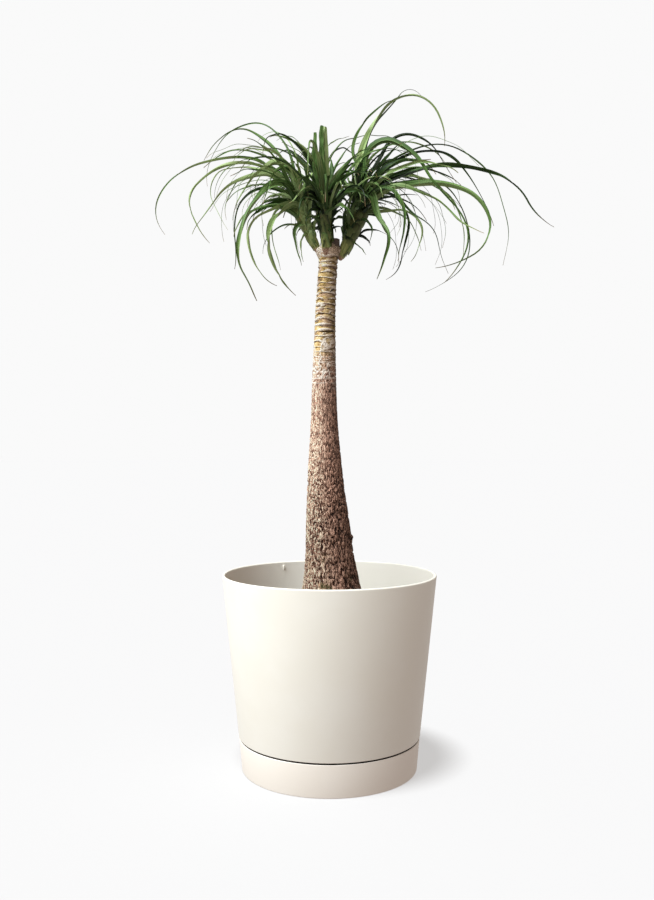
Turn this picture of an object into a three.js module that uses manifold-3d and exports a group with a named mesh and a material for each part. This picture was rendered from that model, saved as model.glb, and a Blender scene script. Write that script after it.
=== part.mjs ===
// A ponytail palm in a tapered round planter that stands in its own saucer.
// Millimetres, +Z up. The origin is on the planter's axis, on the floor under the saucer.
// Azimuths are in degrees about +Z: 0 is +X (right), 90 is +Y (back), 270 is -Y (front).

import * as THREE from 'three';
import { mergeVertices } from 'three/addons/utils/BufferGeometryUtils.js';
import Module from 'manifold-3d';

const wasm = await Module();
wasm.setup();

// ---------------------------------------------------------------- driving dimensions

const GAP = 0.3; // air between two pieces that rest on each other
const WELD = 1e-3; // corners closer than this are one corner
const ROUND_SIDES = 48; // sides of the planter, the saucer and the soil

const SAUCER = {
  height: 44.8,
  footRadius: 122.4,
  rimRadius: 126.4,
  wall: 3.6,
  floor: 4,
};

const POT = {
  rimHeight: 270.2,
  rimRadius: 150,
  seamHeight: 46.4, // underside of the shoulder, just above the saucer's lip
  seamRadius: 126.9,
  plinthRadius: 120.4, // the narrow lower part that stands inside the saucer
  footRadius: 117,
  wall: 4,
  footRing: 5, // how far the foot ring lifts the floor
  floor: 4,
  drainRadius: 6,
  drainCircle: 68,
  drainCount: 4,
  notchWidth: 14, // water ways through the foot ring
};

const LUG = { azimuth: 119, width: 3, height: 7, depth: 2.2, drop: 5 };

const SOIL = { level: 214, relief: 2.4, rings: 7 };

const TRUNK = {
  sides: 16,
  soilLine: 226, // the bark's relief starts above this height
  barkTop: 545, // fissured bark below, ring scars above
  scarTop: 709,
  scarPitch: 7.4,
  scarHeight: 0.9,
  barkHeight: 1.6,
  barkStep: 9.5, // height of one band of bark
};

// Height and radius of the trunk, from the buried foot up to the knuckle that bears the shoots.
const TRUNK_PROFILE = [
  [144, 24], [152, 38], [170, 49], [192, 52], [214, 51], [232, 45], [250, 40.2], [289, 33.8],
  [345, 29.2], [413, 23.6], [480, 18.7], [540, 16.6], [631, 14.2], [700, 13.1], [712, 13.6],
  [719, 16], [726, 16.2], [730, 12.5],
];

// Height and sideways offset of the trunk's centre: the stem bows a little to the left.
const TRUNK_BOW = [[144, 4], [250, 3], [311, -0.6], [413, -5.8], [514, -7.4], [631, -5.8], [714, -1.5], [730, 0]];

const STUMP = { x: 6.5, y: -1, radius: 8.2, bottom: 720, top: 741, sides: 14 };

const LEAF = {
  steps: 48, // steps along a leaf when its headings are followed
  leanedAt: 0.22, // share of its length where a blade has turned fully onto its side
  tipShare: 0.12, // width of the tip as a share of the full width
  leastWidth: 1.5,
  keelShare: 0.13, // depth of the keel as a share of the width
  leastKeel: 1,
  joinTolerance: 0.1, // how far a surface may move where a joined head is made plainer
  clearance: 0.5, // air kept to the wall between two heads
  softness: 10, // a leaf that nears such a wall bends away over this distance
};

// ---------------------------------------------------------------- the four heads

// Each shoot leans from its foot on the knuckle to its tip. Its leaves keep to the quarter round
// the trunk that it faces, so that no two heads cross.
// A leaf is [azimuth, place on the shoot, width, length, headings]: the headings are the angles
// above the level, evenly spaced from root to tip, so -90 hangs straight down.
const HEADS = [
  {
    name: 'head_left',
    facing: 180,
    foot: [-20, 0, 733],
    tip: [-45, 0, 785],
    girth: 7,
    fill: { count: 14, length: [110, 230], rise: [55, 85], droop: [-40, -95] },
    leaves: [
      [178, 0.85, 10, 320, [85, 45, 15, -15, -25, -80, -125]],
      [163, 0.95, 10, 235, [90, 65, 50, 30, -35, -60]],
      [150, 1.0, 6, 300, [90, 75, 45, -5, -50, -100]],
      [170, 0.9, 11, 200, [80, 75, 30, 20, -20, -45]],
      [186, 0.8, 11, 285, [85, 45, 15, -20, -50, -115, -130]],
      [155, 0.8, 6, 215, [90, 35, 35, -25, -100]],
      [146, 0.8, 6, 300, [85, 35, 20, -5, -115, -135]],
      [192, 0.75, 13, 225, [75, 50, -10, -40, -55, -70]],
      [160, 0.7, 7, 200, [80, 45, 15, -55, -100]],
      [205, 0.9, 16, 185, [85, 75, -35, -55, -75]],
      [143, 0.8, 10, 160, [90, 45, 50, -45, -110]],
      [168, 0.6, 11, 225, [85, 35, -5, -70, -100, -75]],
      [215, 0.75, 18, 265, [100, 20, -45, -60, -80, -120, -125]],
      [200, 0.6, 11, 205, [95, -20, -30, -95, -120, -165]],
      [222, 0.65, 15, 195, [90, -25, -45, -85, -115, -135, -150]],
      [147, 0.6, 7, 155, [70, 20, -80, -110, -105]],
      [158, 0.3, 7, 100, [45, 20, -20, -50, -95]],
      [218, 0.35, 10, 85, [80, -30, -100, -110, -105]],
      [220, 0.15, 7, 60, [75, -55, -95, -115]],
      [196, 0.7, 13, 115, [95, 10, -25, -40, -85]],
      [184, 0.95, 7, 160, [85, 85, 30, 0, -70]],
      [228, 0.9, 11, 150, [90, 80, -20, -70, -65]],
      [138, 1.0, 6, 175, [95, 90, 60, 25, -40]],
    ],
  },
  {
    name: 'head_right',
    facing: 0,
    foot: [21, 0, 726],
    tip: [46, 0, 781],
    girth: 9,
    fill: { count: 13, length: [110, 230], rise: [55, 85], droop: [-40, -95] },
    leaves: [
      [12, 1.0, 15, 300, [100, 90, 65, 55, 5, -65, -95]],
      [28, 1.0, 6, 240, [95, 85, 75, 45, 55, -55]],
      [-36, 1.0, 14, 185, [100, 90, 115, 55, 30, 0]],
      [40, 1.0, 9, 155, [90, 85, 45, -25]],
      [-6, 0.95, 9, 240, [100, 55, 65, -20, -60, -60]],
      [8, 0.9, 11, 300, [90, 45, 35, 0, -50, -60, -75]],
      [-3, 0.85, 14, 335, [80, 25, 15, -5, -25, -60, -30]],
      [-14, 0.75, 14, 340, [80, 10, 0, -25, -80, -150, -180]],
      [-22, 0.95, 13, 380, [75, 95, -30, -60, -45, -100, -150]],
      [-30, 0.7, 13, 230, [60, 30, -20, -35, -50, -15]],
      [18, 0.85, 9, 275, [75, 45, -10, -30, -80, -95]],
      [24, 0.8, 6, 385, [80, 20, 10, -45, -90, -135, -170]],
      [2, 0.9, 6, 385, [85, 45, 20, -25, -60, -85, -105]],
      [38, 0.85, 6, 270, [75, 50, 20, 5, -10, -110]],
      [-20, 0.5, 10, 175, [90, -5, 5, -45, -105, -130]],
      [14, 0.5, 7, 150, [75, 40, -10, -25, -70, -70]],
      [-36, 0.8, 7, 245, [110, 10, -55, -35, -70, -75]],
      [-40, 0.7, 11, 190, [70, 40, -30, -75, -110, -90]],
      [34, 0.65, 10, 240, [45, 55, -30, -100, -110, -150]],
      [-56, 0.8, 18, 210, [140, 15, -80, -40, -120, -125]],
      [42, 0.55, 7, 140, [75, 25, -55, -30, -115]],
      [30, 0.35, 7, 65, [10, 35, -5, -15]],
      [-42, 0.4, 9, 75, [85, 5, -70, -140]],
      [-25, 0.1, 7, 42, [70, -35, -45, -65]],
      [4, 0.6, 9, 110, [85, 30, 10, 0]],
      [16, 0.85, 15, 165, [85, 75, 35, 0, 10]],
      [-10, 0.85, 16, 160, [90, 55, 35, -10, -65]],
      [26, 0.9, 9, 235, [90, 75, 25, -5, -65]],
    ],
  },
  {
    name: 'head_front',
    facing: 270,
    foot: [-5, -16, 729],
    tip: [-6, -34, 794],
    girth: 7,
    fill: { count: 14, length: [130, 280], rise: [50, 82], droop: [-50, -100] },
    leaves: [
      [262, 1.0, 16, 92, [85, 85, 90, 92]],
      [236, 1.0, 15, 93, [70, 80, 90, 98]],
      [228, 1.0, 15, 84, [58, 65, 85, 95]],
      [230, 0.9, 14, 78, [45, 60, 85, 95]],
      [229, 0.8, 11, 90, [65, 5, -50, -35]],
      [311, 0.9, 14, 90, [45, 45, 25, 20]],
      [304, 0.85, 13, 115, [45, 15, -5, -55]],
      [313, 0.7, 13, 100, [20, 25, -25, -60]],
      [230, 0.7, 11, 85, [35, 10, -60, -120]],
      [300, 0.6, 11, 90, [20, 0, -40, -60]],
      [240, 0.5, 10, 80, [55, -10, -50, -120]],
    ],
  },
  {
    name: 'head_back',
    facing: 90,
    foot: [-3, 16, 730],
    tip: [-12, 40, 787],
    girth: 7,
    fill: { count: 18, length: [130, 280], rise: [60, 85], droop: [-15, -65] },
    leaves: [
      [128, 1.0, 6, 200, [95, 60, 45, -10]],
      [60, 1.0, 7, 185, [95, 85, 30, 20]],
      [52, 1.0, 6, 300, [90, 65, 25, 15, 0]],
      [120, 0.9, 10, 240, [90, 45, 30, -35]],
      [72, 0.95, 9, 280, [95, 45, 15, -10]],
      [105, 1.0, 9, 230, [95, 60, 15, -20]],
    ],
  },
];

// The leaves that fill a head up. Each head gives the ranges of their length, and of their
// headings at the root and at the tip.
const FILLER = {
  turn: 137.508, // golden angle between one leaf and the next
  spread: 0.25, // share of its own direction that a leaf keeps at its tip
  seat: [0.15, 0.9],
  width: [11, 17],
};

const MATERIALS = {
  saucer: new THREE.MeshStandardMaterial({ color: 0xe6dcd0, roughness: 0.6, metalness: 0 }),
  pot: new THREE.MeshStandardMaterial({ color: 0xece6da, roughness: 0.62, metalness: 0 }),
  soil: new THREE.MeshStandardMaterial({ color: 0x3d2f26, roughness: 1, metalness: 0 }),
  trunk: new THREE.MeshStandardMaterial({ color: 0x86705f, roughness: 0.95, metalness: 0 }),
  leaves: new THREE.MeshStandardMaterial({ color: 0x3f6332, roughness: 0.5, metalness: 0 }),
};

// ---------------------------------------------------------------- small helpers

const radians = THREE.MathUtils.degToRad;
const lerp = THREE.MathUtils.lerp;

/** A repeatable draw between 0 and 1 for item i, stream k. */
function draw(i, k) {
  const value = Math.sin(i * 127.1 + k * 311.7) * 43758.5453;
  return value - Math.floor(value);
}

/** A draw spread over [low, high]. */
function drawIn([low, high], i, k) {
  return lerp(low, high, draw(i, k));
}

/** Smooth curve through [position, value] pairs, read at one position. */
function readCurve(pairs, at) {
  const last = pairs.length - 1;
  let i = 0;
  while (i < last - 1 && at > pairs[i + 1][0]) i += 1;
  const slope = (k) => {
    const a = pairs[Math.max(k - 1, 0)];
    const b = pairs[Math.min(k + 1, last)];
    return (b[1] - a[1]) / (b[0] - a[0]);
  };
  const [x0, y0] = pairs[i];
  const [x1, y1] = pairs[i + 1];
  const span = x1 - x0;
  const t = THREE.MathUtils.clamp((at - x0) / span, 0, 1);
  const rise = t * t * (3 - 2 * t);
  const leave = t * (1 - t) * (1 - t) * span * slope(i);
  const arrive = t * t * (t - 1) * span * slope(i + 1);
  return y0 + (y1 - y0) * rise + leave + arrive;
}

/** Turns a closed three.js geometry into a solid that can be joined and cut. */
function solidOf(geometry) {
  const merged = mergeVertices(stripped(geometry), WELD);
  return new wasm.Manifold(new wasm.Mesh({
    numProp: 3,
    vertProperties: new Float32Array(merged.attributes.position.array),
    triVerts: new Uint32Array(merged.index.array),
  }));
}

/** The same geometry with only its positions left. */
function stripped(geometry) {
  const bare = geometry.clone();
  bare.deleteAttribute('normal');
  bare.deleteAttribute('uv');
  return bare;
}

/** The surface of a solid as a three.js geometry. */
function geometryOf(solid) {
  const { vertProperties, triVerts } = solid.getMesh();
  const geometry = new THREE.BufferGeometry();
  geometry.setAttribute('position', new THREE.BufferAttribute(new Float32Array(vertProperties), 3));
  geometry.setIndex(new THREE.BufferAttribute(new Uint32Array(triVerts), 1));
  return geometry;
}

/** Turns a solid back into a named mesh. */
function meshOf(name, solid, material) {
  const geometry = geometryOf(solid);
  geometry.computeVertexNormals();
  const mesh = new THREE.Mesh(geometry, material);
  mesh.name = name;
  return mesh;
}

/** The largest body of a solid, welded: loose scraps are dropped and sealed hollows are filled. */
function mainBody(solid) {
  const largest = (bodies) => bodies.reduce((a, b) => (b.volume() > a.volume() ? b : a));
  const welded = solidOf(geometryOf(largest(solid.decompose())));
  return largest(welded.decompose());
}

/** Whether each edge of a solid still borders exactly two faces once its corners are welded. */
function isSound(solid) {
  return [WELD, WELD / 10].every((tolerance) => {
    const index = mergeVertices(geometryOf(solid), tolerance).index.array;
    const borders = new Map();
    for (let i = 0; i < index.length; i += 3) {
      const face = [index[i], index[i + 1], index[i + 2]];
      face.forEach((corner, k) => {
        const next = face[(k + 1) % 3];
        const edge = `${Math.min(corner, next)} ${Math.max(corner, next)}`;
        borders.set(edge, (borders.get(edge) ?? 0) + 1);
      });
    }
    return [...borders.values()].every((count) => count === 2);
  });
}

/** How far point d stands out of the face a, b, c: above zero on the side that the face looks to. */
function standOut(a, b, c, d) {
  const side = b.clone().sub(a).cross(c.clone().sub(a));
  return side.dot(d.clone().sub(a));
}

/** A closed mesh from rings of points that all have the same count, capped at both ends. */
function loftOf(rings) {
  const count = rings[0].length;
  const points = rings.flat();
  const faces = [];
  for (let r = 0; r < rings.length - 1; r += 1) {
    for (let s = 0; s < count; s += 1) {
      const a = r * count + s;
      const b = r * count + (s + 1) % count;
      const [c, d] = [b + count, a + count];
      // Each four-sided patch is folded outwards, so that the two sides of a rolled blade never cross.
      if (standOut(points[a], points[b], points[c], points[d]) > 0) {
        faces.push(a, b, d, b, c, d);
      } else {
        faces.push(a, b, c, a, c, d);
      }
    }
  }
  const top = (rings.length - 1) * count;
  for (let s = 1; s < count - 1; s += 1) {
    faces.push(0, s + 1, s);
    faces.push(top, top + s, top + s + 1);
  }
  const geometry = new THREE.BufferGeometry().setFromPoints(points);
  geometry.setIndex(faces);
  return geometry;
}

/** A solid turned about +Z from [radius, height] pairs. */
function turned(pairs, sides = ROUND_SIDES) {
  const profile = pairs.map(([radius, height]) => new THREE.Vector2(radius, height));
  const geometry = new THREE.LatheGeometry(profile, sides);
  geometry.rotateX(Math.PI / 2);
  return solidOf(geometry);
}

/** Points of a half-round lip between two radii, from the outside over the top to the inside. */
function roundLip(outer, inner, top, steps = 5) {
  const middle = (outer + inner) / 2;
  const half = (outer - inner) / 2;
  const points = [];
  for (let i = 0; i <= steps; i += 1) {
    const angle = Math.PI * i / steps;
    points.push([middle + half * Math.cos(angle), top - half + half * Math.sin(angle)]);
  }
  return points;
}

// ---------------------------------------------------------------- saucer

function buildSaucer() {
  const edge = 1.5;
  const inner = SAUCER.rimRadius - SAUCER.wall;
  const innerFoot = SAUCER.footRadius - SAUCER.wall;
  const solid = turned([
    [0, 0],
    [SAUCER.footRadius - edge, 0],
    [SAUCER.footRadius, edge],
    ...roundLip(SAUCER.rimRadius, inner, SAUCER.height),
    [innerFoot, SAUCER.floor + edge],
    [innerFoot - edge, SAUCER.floor],
    [0, SAUCER.floor],
  ]);
  return meshOf('saucer', solid, MATERIALS.saucer);
}

// ---------------------------------------------------------------- planter

const potFootZ = SAUCER.floor + GAP;
const potFloorTop = potFootZ + POT.footRing + POT.floor;

/** Inner radius of the planter at a height above its floor. */
function potInnerRadius(z) {
  const outer = z > POT.seamHeight
    ? lerp(POT.seamRadius, POT.rimRadius, (z - POT.seamHeight) / (POT.rimHeight - POT.seamHeight))
    : lerp(POT.footRadius, POT.plinthRadius, (z - potFootZ) / (POT.seamHeight - potFootZ));
  return outer - POT.wall;
}

function buildPot() {
  const ringWidth = 6;
  const inner = POT.footRadius - ringWidth;
  const shoulder = POT.seamHeight + 6;
  let solid = turned([
    [0, potFootZ + POT.footRing],
    [inner, potFootZ + POT.footRing],
    [inner, potFootZ],
    [POT.footRadius, potFootZ],
    [POT.plinthRadius, POT.seamHeight],
    [POT.seamRadius - 0.8, POT.seamHeight],
    [POT.seamRadius, POT.seamHeight + 0.8],
    ...roundLip(POT.rimRadius, POT.rimRadius - POT.wall, POT.rimHeight),
    [potInnerRadius(shoulder), shoulder],
    [POT.plinthRadius - POT.wall, POT.seamHeight - 2],
    [potInnerRadius(potFloorTop), potFloorTop],
    [0, potFloorTop],
  ]);
  const drain = new THREE.CylinderGeometry(POT.drainRadius, POT.drainRadius, 40, 16);
  drain.rotateX(Math.PI / 2);
  solid = solid.subtract(solidOf(drain));
  for (let i = 0; i < POT.drainCount; i += 1) {
    const angle = Math.PI / 4 + i * 2 * Math.PI / POT.drainCount;
    const hole = drain.clone().translate(
      POT.drainCircle * Math.cos(angle), POT.drainCircle * Math.sin(angle), 0);
    solid = solid.subtract(solidOf(hole));
    const notch = new THREE.BoxGeometry(ringWidth * 4, POT.notchWidth, POT.footRing);
    notch.translate(POT.footRadius, 0, potFootZ);
    notch.rotateZ(i * Math.PI / 2);
    solid = solid.subtract(solidOf(notch));
  }
  return meshOf('pot', mainBody(solid.add(buildLug())), MATERIALS.pot);
}

/** The small moulded lug on the inside of the wall, just under the rim. */
function buildLug() {
  const middle = POT.rimHeight - LUG.drop - LUG.height / 2;
  const lug = new THREE.BoxGeometry(LUG.depth * 2, LUG.width, LUG.height);
  lug.translate(potInnerRadius(middle), 0, middle);
  lug.rotateZ(radians(LUG.azimuth));
  return solidOf(lug);
}

// ---------------------------------------------------------------- trunk

const trunkRadius = (z) => readCurve(TRUNK_PROFILE, z);
const trunkBow = (z) => readCurve(TRUNK_BOW, z);

/** How far the bark stands out of the plain trunk at a height and an angle. */
function barkRelief(z, angle) {
  if (z <= TRUNK.soilLine || z >= TRUNK.scarTop) return 0;
  if (z < TRUNK.barkTop) {
    const fade = Math.min((z - TRUNK.soilLine) / 20, 1);
    const band = Math.round(z / TRUNK.barkStep);
    const plates = Math.sin(5 * angle + band * 2.4) + 0.7 * Math.sin(9 * angle - band * 1.7);
    return fade * TRUNK.barkHeight * 0.6 * plates;
  }
  return 0.25 * Math.sin(4 * angle + z * 0.3);
}

/** Rows of the trunk: its height and how far a ring scar stands out there. */
function trunkRows() {
  const rows = TRUNK_PROFILE.filter(([z]) => z < TRUNK.soilLine).map(([z]) => [z, 0]);
  for (let z = TRUNK.soilLine; z < TRUNK.barkTop - 2; z += TRUNK.barkStep) rows.push([z, 0]);
  for (let z = TRUNK.barkTop; z < TRUNK.scarTop - TRUNK.scarPitch / 2; z += TRUNK.scarPitch) {
    rows.push([z, TRUNK.scarHeight]);
    rows.push([z + TRUNK.scarPitch * 0.55, 0]);
  }
  const knuckle = TRUNK_PROFILE.filter(([z]) => z > TRUNK.scarTop).map(([z]) => [z, 0]);
  return [...rows, ...knuckle];
}

/** The trunk between two heights, made thicker all round by grow. */
function trunkSolid(from, to, grow) {
  const rows = trunkRows().filter(([z]) => z >= from && z <= to);
  const rings = rows.map(([z, scar]) => {
    const ring = [];
    const wave = scar > 0 ? 1 : 0;
    for (let s = 0; s < TRUNK.sides; s += 1) {
      const angle = 2 * Math.PI * s / TRUNK.sides;
      const radius = trunkRadius(z) + grow + scar + barkRelief(z, angle);
      const lift = wave * Math.sin(2 * angle + z * 0.9);
      ring.push(new THREE.Vector3(
        trunkBow(z) + radius * Math.cos(angle), radius * Math.sin(angle), z + lift));
    }
    return ring;
  });
  if (grow > 0) {
    rings[rings.length - 1].forEach((point) => { point.z += grow; });
    rings[0].forEach((point) => { point.z -= grow; });
  }
  return solidOf(loftOf(rings));
}

/** The cut stub of the first stem on top of the knuckle. */
function stumpSolid(grow) {
  const height = STUMP.top - STUMP.bottom + 2 * grow;
  const stump = new THREE.CylinderGeometry(
    STUMP.radius - 0.6 + grow, STUMP.radius + 0.6 + grow, height, STUMP.sides);
  stump.rotateX(Math.PI / 2);
  stump.rotateX(radians(4));
  stump.translate(STUMP.x, STUMP.y, (STUMP.top + STUMP.bottom) / 2);
  return solidOf(stump);
}

function buildTrunk() {
  const [foot] = TRUNK_PROFILE[0];
  const [knuckle] = TRUNK_PROFILE[TRUNK_PROFILE.length - 1];
  const solid = trunkSolid(foot, knuckle, 0).add(stumpSolid(0));
  return meshOf('trunk', mainBody(solid), MATERIALS.trunk);
}

// ---------------------------------------------------------------- soil

/** Height of the uneven soil at a place. */
function soilSurface(x, y) {
  const swell = Math.sin(x * 0.052 + 0.7) * Math.cos(y * 0.047 - 0.4);
  const crumbs = 0.6 * Math.sin(x * 0.13 - y * 0.11 + 1.3);
  return SOIL.level + SOIL.relief * (swell + crumbs);
}

function buildSoil() {
  const bottom = potFloorTop + GAP;
  const wallAt = (z) => potInnerRadius(z) - GAP - 0.2;
  const plinthTop = POT.seamHeight - 2;
  const profile = [
    [0, bottom],
    [wallAt(bottom), bottom],
    [POT.plinthRadius - POT.wall - GAP - 0.6, plinthTop],
    [wallAt(POT.seamHeight + 6.5), POT.seamHeight + 6.5],
  ];
  for (let i = SOIL.rings; i >= 0; i -= 1) profile.push([wallAt(SOIL.level) * i / SOIL.rings, SOIL.level]);
  const lathe = new THREE.LatheGeometry(profile.map(([r, z]) => new THREE.Vector2(r, z)), ROUND_SIDES / 2);
  lathe.rotateX(Math.PI / 2);
  const places = lathe.attributes.position;
  const edge = wallAt(SOIL.level) - 1;
  for (let i = 0; i < places.count; i += 1) {
    const x = places.getX(i);
    const y = places.getY(i);
    const isTop = places.getZ(i) > SOIL.level - 1;
    if (isTop && Math.hypot(x, y) < edge) places.setZ(i, soilSurface(x, y));
  }
  const hole = trunkSolid(TRUNK_PROFILE[0][0], TRUNK.soilLine + 1, GAP);
  return meshOf('soil', mainBody(solidOf(lathe).subtract(hole)), MATERIALS.soil);
}

// ---------------------------------------------------------------- heads of leaves

/** Moves a point of a leaf clear of the two walls of the quarter that its head faces. */
function keepInQuarter(point, facing, halfWidth) {
  const least = halfWidth + LEAF.clearance;
  const soft = LEAF.softness;
  for (const side of [-45, 45]) {
    const angle = radians(facing + side);
    const inward = new THREE.Vector2(Math.cos(angle), Math.sin(angle));
    const distance = point.x * inward.x + point.y * inward.y;
    if (distance < least + soft) {
      const push = least + soft * Math.exp((distance - least - soft) / soft) - distance;
      point.x += inward.x * push;
      point.y += inward.y * push;
    }
  }
}

/** Angle above the level at a share of a leaf's length, between evenly spaced headings. */
function headingAt(headings, share) {
  const place = share * (headings.length - 1);
  const i = Math.min(Math.floor(place), headings.length - 2);
  return lerp(headings[i], headings[i + 1], place - i);
}

/** Width of a blade at a share of its length: broad at the sheath, then a long taper. */
function bladeWidth(leaf, share) {
  const taper = leaf.clipped ? 1 - 0.5 * share : 1 - (1 - LEAF.tipShare) * share ** 0.9;
  return Math.max(leaf.width * taper, LEAF.leastWidth);
}

/** Roll of a blade about its own length, in degrees: it leans to one side, then twists. */
function bladeRoll(leaf, share) {
  const leaned = THREE.MathUtils.smoothstep(share, 0, LEAF.leanedAt);
  const twist = share * Math.sin(2 * Math.PI * (leaf.rollRate * share + leaf.rollStart));
  return leaf.lean * leaned + leaf.roll * twist;
}

/** Follows a leaf's headings from its root and gives a frame at each step. */
function followLeaf(leaf, head) {
  const at = leaf.root.clone();
  const step = leaf.length / LEAF.steps;
  const frames = [];
  for (let i = 0; i <= LEAF.steps; i += 1) {
    const share = i / LEAF.steps;
    const azimuth = radians(lerp(leaf.azimuth, leaf.endAzimuth, share));
    const pitch = radians(headingAt(leaf.headings, share));
    const along = new THREE.Vector3(
      Math.cos(pitch) * Math.cos(azimuth), Math.cos(pitch) * Math.sin(azimuth), Math.sin(pitch));
    const across = new THREE.Vector3(-Math.sin(azimuth), Math.cos(azimuth), 0);
    across.applyAxisAngle(along, radians(bladeRoll(leaf, share)));
    const centre = at.clone();
    keepInQuarter(centre, head.facing, bladeWidth(leaf, share) / 2);
    frames.push({ centre, along, across, share });
    at.addScaledVector(along, step);
  }
  return frames;
}

/** One strap blade: flat on its upper face, with a keel below, tapering to a thread. */
function bladeSolid(leaf, head) {
  const frames = followLeaf(leaf, head);
  const turn = leaf.headings.slice(1).reduce((sum, h, i) => sum + Math.abs(h - leaf.headings[i]), 0);
  const pieces = Math.round(THREE.MathUtils.clamp(2.5 + turn / 50, 4, 7));
  const rings = [];
  for (let i = 0; i <= pieces; i += 1) {
    const { centre, along, across, share } = frames[Math.round(LEAF.steps * i / pieces)];
    const half = bladeWidth(leaf, share) / 2;
    const keel = Math.max(2 * half * LEAF.keelShare, LEAF.leastKeel);
    const up = along.clone().cross(across).negate();
    rings.push([
      centre.clone().addScaledVector(across, -half).addScaledVector(up, -keel / 3),
      centre.clone().addScaledVector(up, keel * 2 / 3),
      centre.clone().addScaledVector(across, half).addScaledVector(up, -keel / 3),
    ]);
  }
  return solidOf(loftOf(rings));
}

/** The stout sheathed shoot that a head's leaves grow from. */
function shootSolid(head) {
  const foot = new THREE.Vector3(...head.foot);
  const tip = new THREE.Vector3(...head.tip);
  const axis = tip.clone().sub(foot);
  const length = axis.length();
  const rooted = 14; // how far it reaches down into the knuckle
  const girths = [
    [-rooted, 0.8], [0, 1], [12, 1.05], [14, 0.95], [28, 1.1], [30, 1], [length - 6, 1.35], [length + 6, 1.2],
    [length + 14, 0.5],
  ];
  const direction = axis.normalize();
  const turn = new THREE.Quaternion().setFromUnitVectors(new THREE.Vector3(0, 0, 1), direction);
  const sides = 10;
  const rings = girths.map(([along, share]) => {
    const ring = [];
    for (let s = 0; s < sides; s += 1) {
      const angle = 2 * Math.PI * s / sides;
      const spot = new THREE.Vector3(Math.cos(angle), Math.sin(angle), 0).multiplyScalar(head.girth * share);
      ring.push(spot.applyQuaternion(turn).add(foot).addScaledVector(direction, along));
    }
    return ring;
  });
  return solidOf(loftOf(rings));
}

/** Place on a shoot, from 0 at its foot to 1 at its tip. */
function seatOn(head, share) {
  return new THREE.Vector3(...head.foot).lerp(new THREE.Vector3(...head.tip), share);
}

/** Roll of one leaf, drawn from its number. A clipped leaf stands upright and hardly turns. */
function rollOf(number, clipped) {
  const toOneSide = draw(number, 10) < 0.6 ? 1 : -1;
  return {
    clipped,
    lean: clipped ? 0 : drawIn([25, 60], number, 9) * toOneSide,
    roll: clipped ? 15 : drawIn([15, 55], number, 5),
    rollRate: drawIn([0.5, 1.2], number, 6),
    rollStart: draw(number, 7),
  };
}

/** The leaves whose shape the photograph shows. */
function shownLeaves(head, firstNumber) {
  return head.leaves.map(([azimuth, seat, width, length, headings], i) => ({
    root: seatOn(head, seat),
    azimuth,
    endAzimuth: azimuth,
    width,
    length,
    headings,
    ...rollOf(firstNumber + i, head.name === 'head_front' && i < 4),
  }));
}

/** The leaves that fill a head up: evenly turned round the shoot, with seeded sizes. */
function fillerLeaves(head, firstNumber) {
  const leaves = [];
  for (let i = 0; i < head.fill.count; i += 1) {
    const number = firstNumber + i;
    const away = THREE.MathUtils.euclideanModulo(i * FILLER.turn + 180, 360) - 180;
    const inner = Math.abs(away) / 180;
    const rise = lerp(drawIn(head.fill.rise, number, 1), 88, inner);
    const droop = lerp(drawIn(head.fill.droop, number, 2), 30, inner * inner);
    leaves.push({
      root: seatOn(head, drawIn(FILLER.seat, number, 3)),
      azimuth: head.facing + away,
      endAzimuth: head.facing + away * FILLER.spread,
      width: drawIn(FILLER.width, number, 4) * (1 - 0.35 * inner),
      length: drawIn(head.fill.length, number, 8) * (1 - 0.45 * inner),
      headings: [rise, lerp(rise, droop, 0.25), lerp(rise, droop, 0.6), droop],
      ...rollOf(number, false),
    });
  }
  return leaves;
}

/** Joins a leaf to its head. Where the joint pinches, the leaf's root is moved by a hair. */
function joinLeaf(grown, leaf, head, knuckle) {
  for (const hair of [0, 0.2, -0.2, 0.45]) {
    const moved = { ...leaf, root: leaf.root.clone().add(new THREE.Vector3(hair, -hair, hair)) };
    const joined = mainBody(grown.add(bladeSolid(moved, head).subtract(knuckle)).simplify(LEAF.joinTolerance));
    if (isSound(joined)) return joined;
  }
  return grown;
}

function buildHead(head, index, knuckle) {
  const firstNumber = 100 * (index + 1);
  const leaves = [...shownLeaves(head, firstNumber), ...fillerLeaves(head, firstNumber + 50)];
  const shoot = mainBody(shootSolid(head).subtract(knuckle));
  const grown = leaves.reduce((solid, leaf) => joinLeaf(solid, leaf, head, knuckle), shoot);
  return meshOf(head.name, grown, MATERIALS.leaves);
}

// ---------------------------------------------------------------- the whole plant

const plant = new THREE.Group();
plant.name = 'potted_ponytail_palm';
const knuckle = trunkSolid(TRUNK.scarTop - 24, TRUNK_PROFILE.at(-1)[0], GAP).add(stumpSolid(GAP));
plant.add(buildSaucer(), buildPot(), buildSoil(), buildTrunk());
HEADS.forEach((head, index) => plant.add(buildHead(head, index, knuckle)));

export default plant;
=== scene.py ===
"""A ponytail palm in a tapered planter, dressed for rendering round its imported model.

Sizes are in millimetres while a mesh is put together, and in metres in Blender. +Z is up, and
the origin is on the planter's axis, on the floor. Azimuths are in degrees about +Z: 0 is +X
(right), 90 is +Y (back) and 270 is -Y (front).
"""

import logging
import math
from dataclasses import dataclass, field
from enum import Enum, IntEnum

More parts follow.
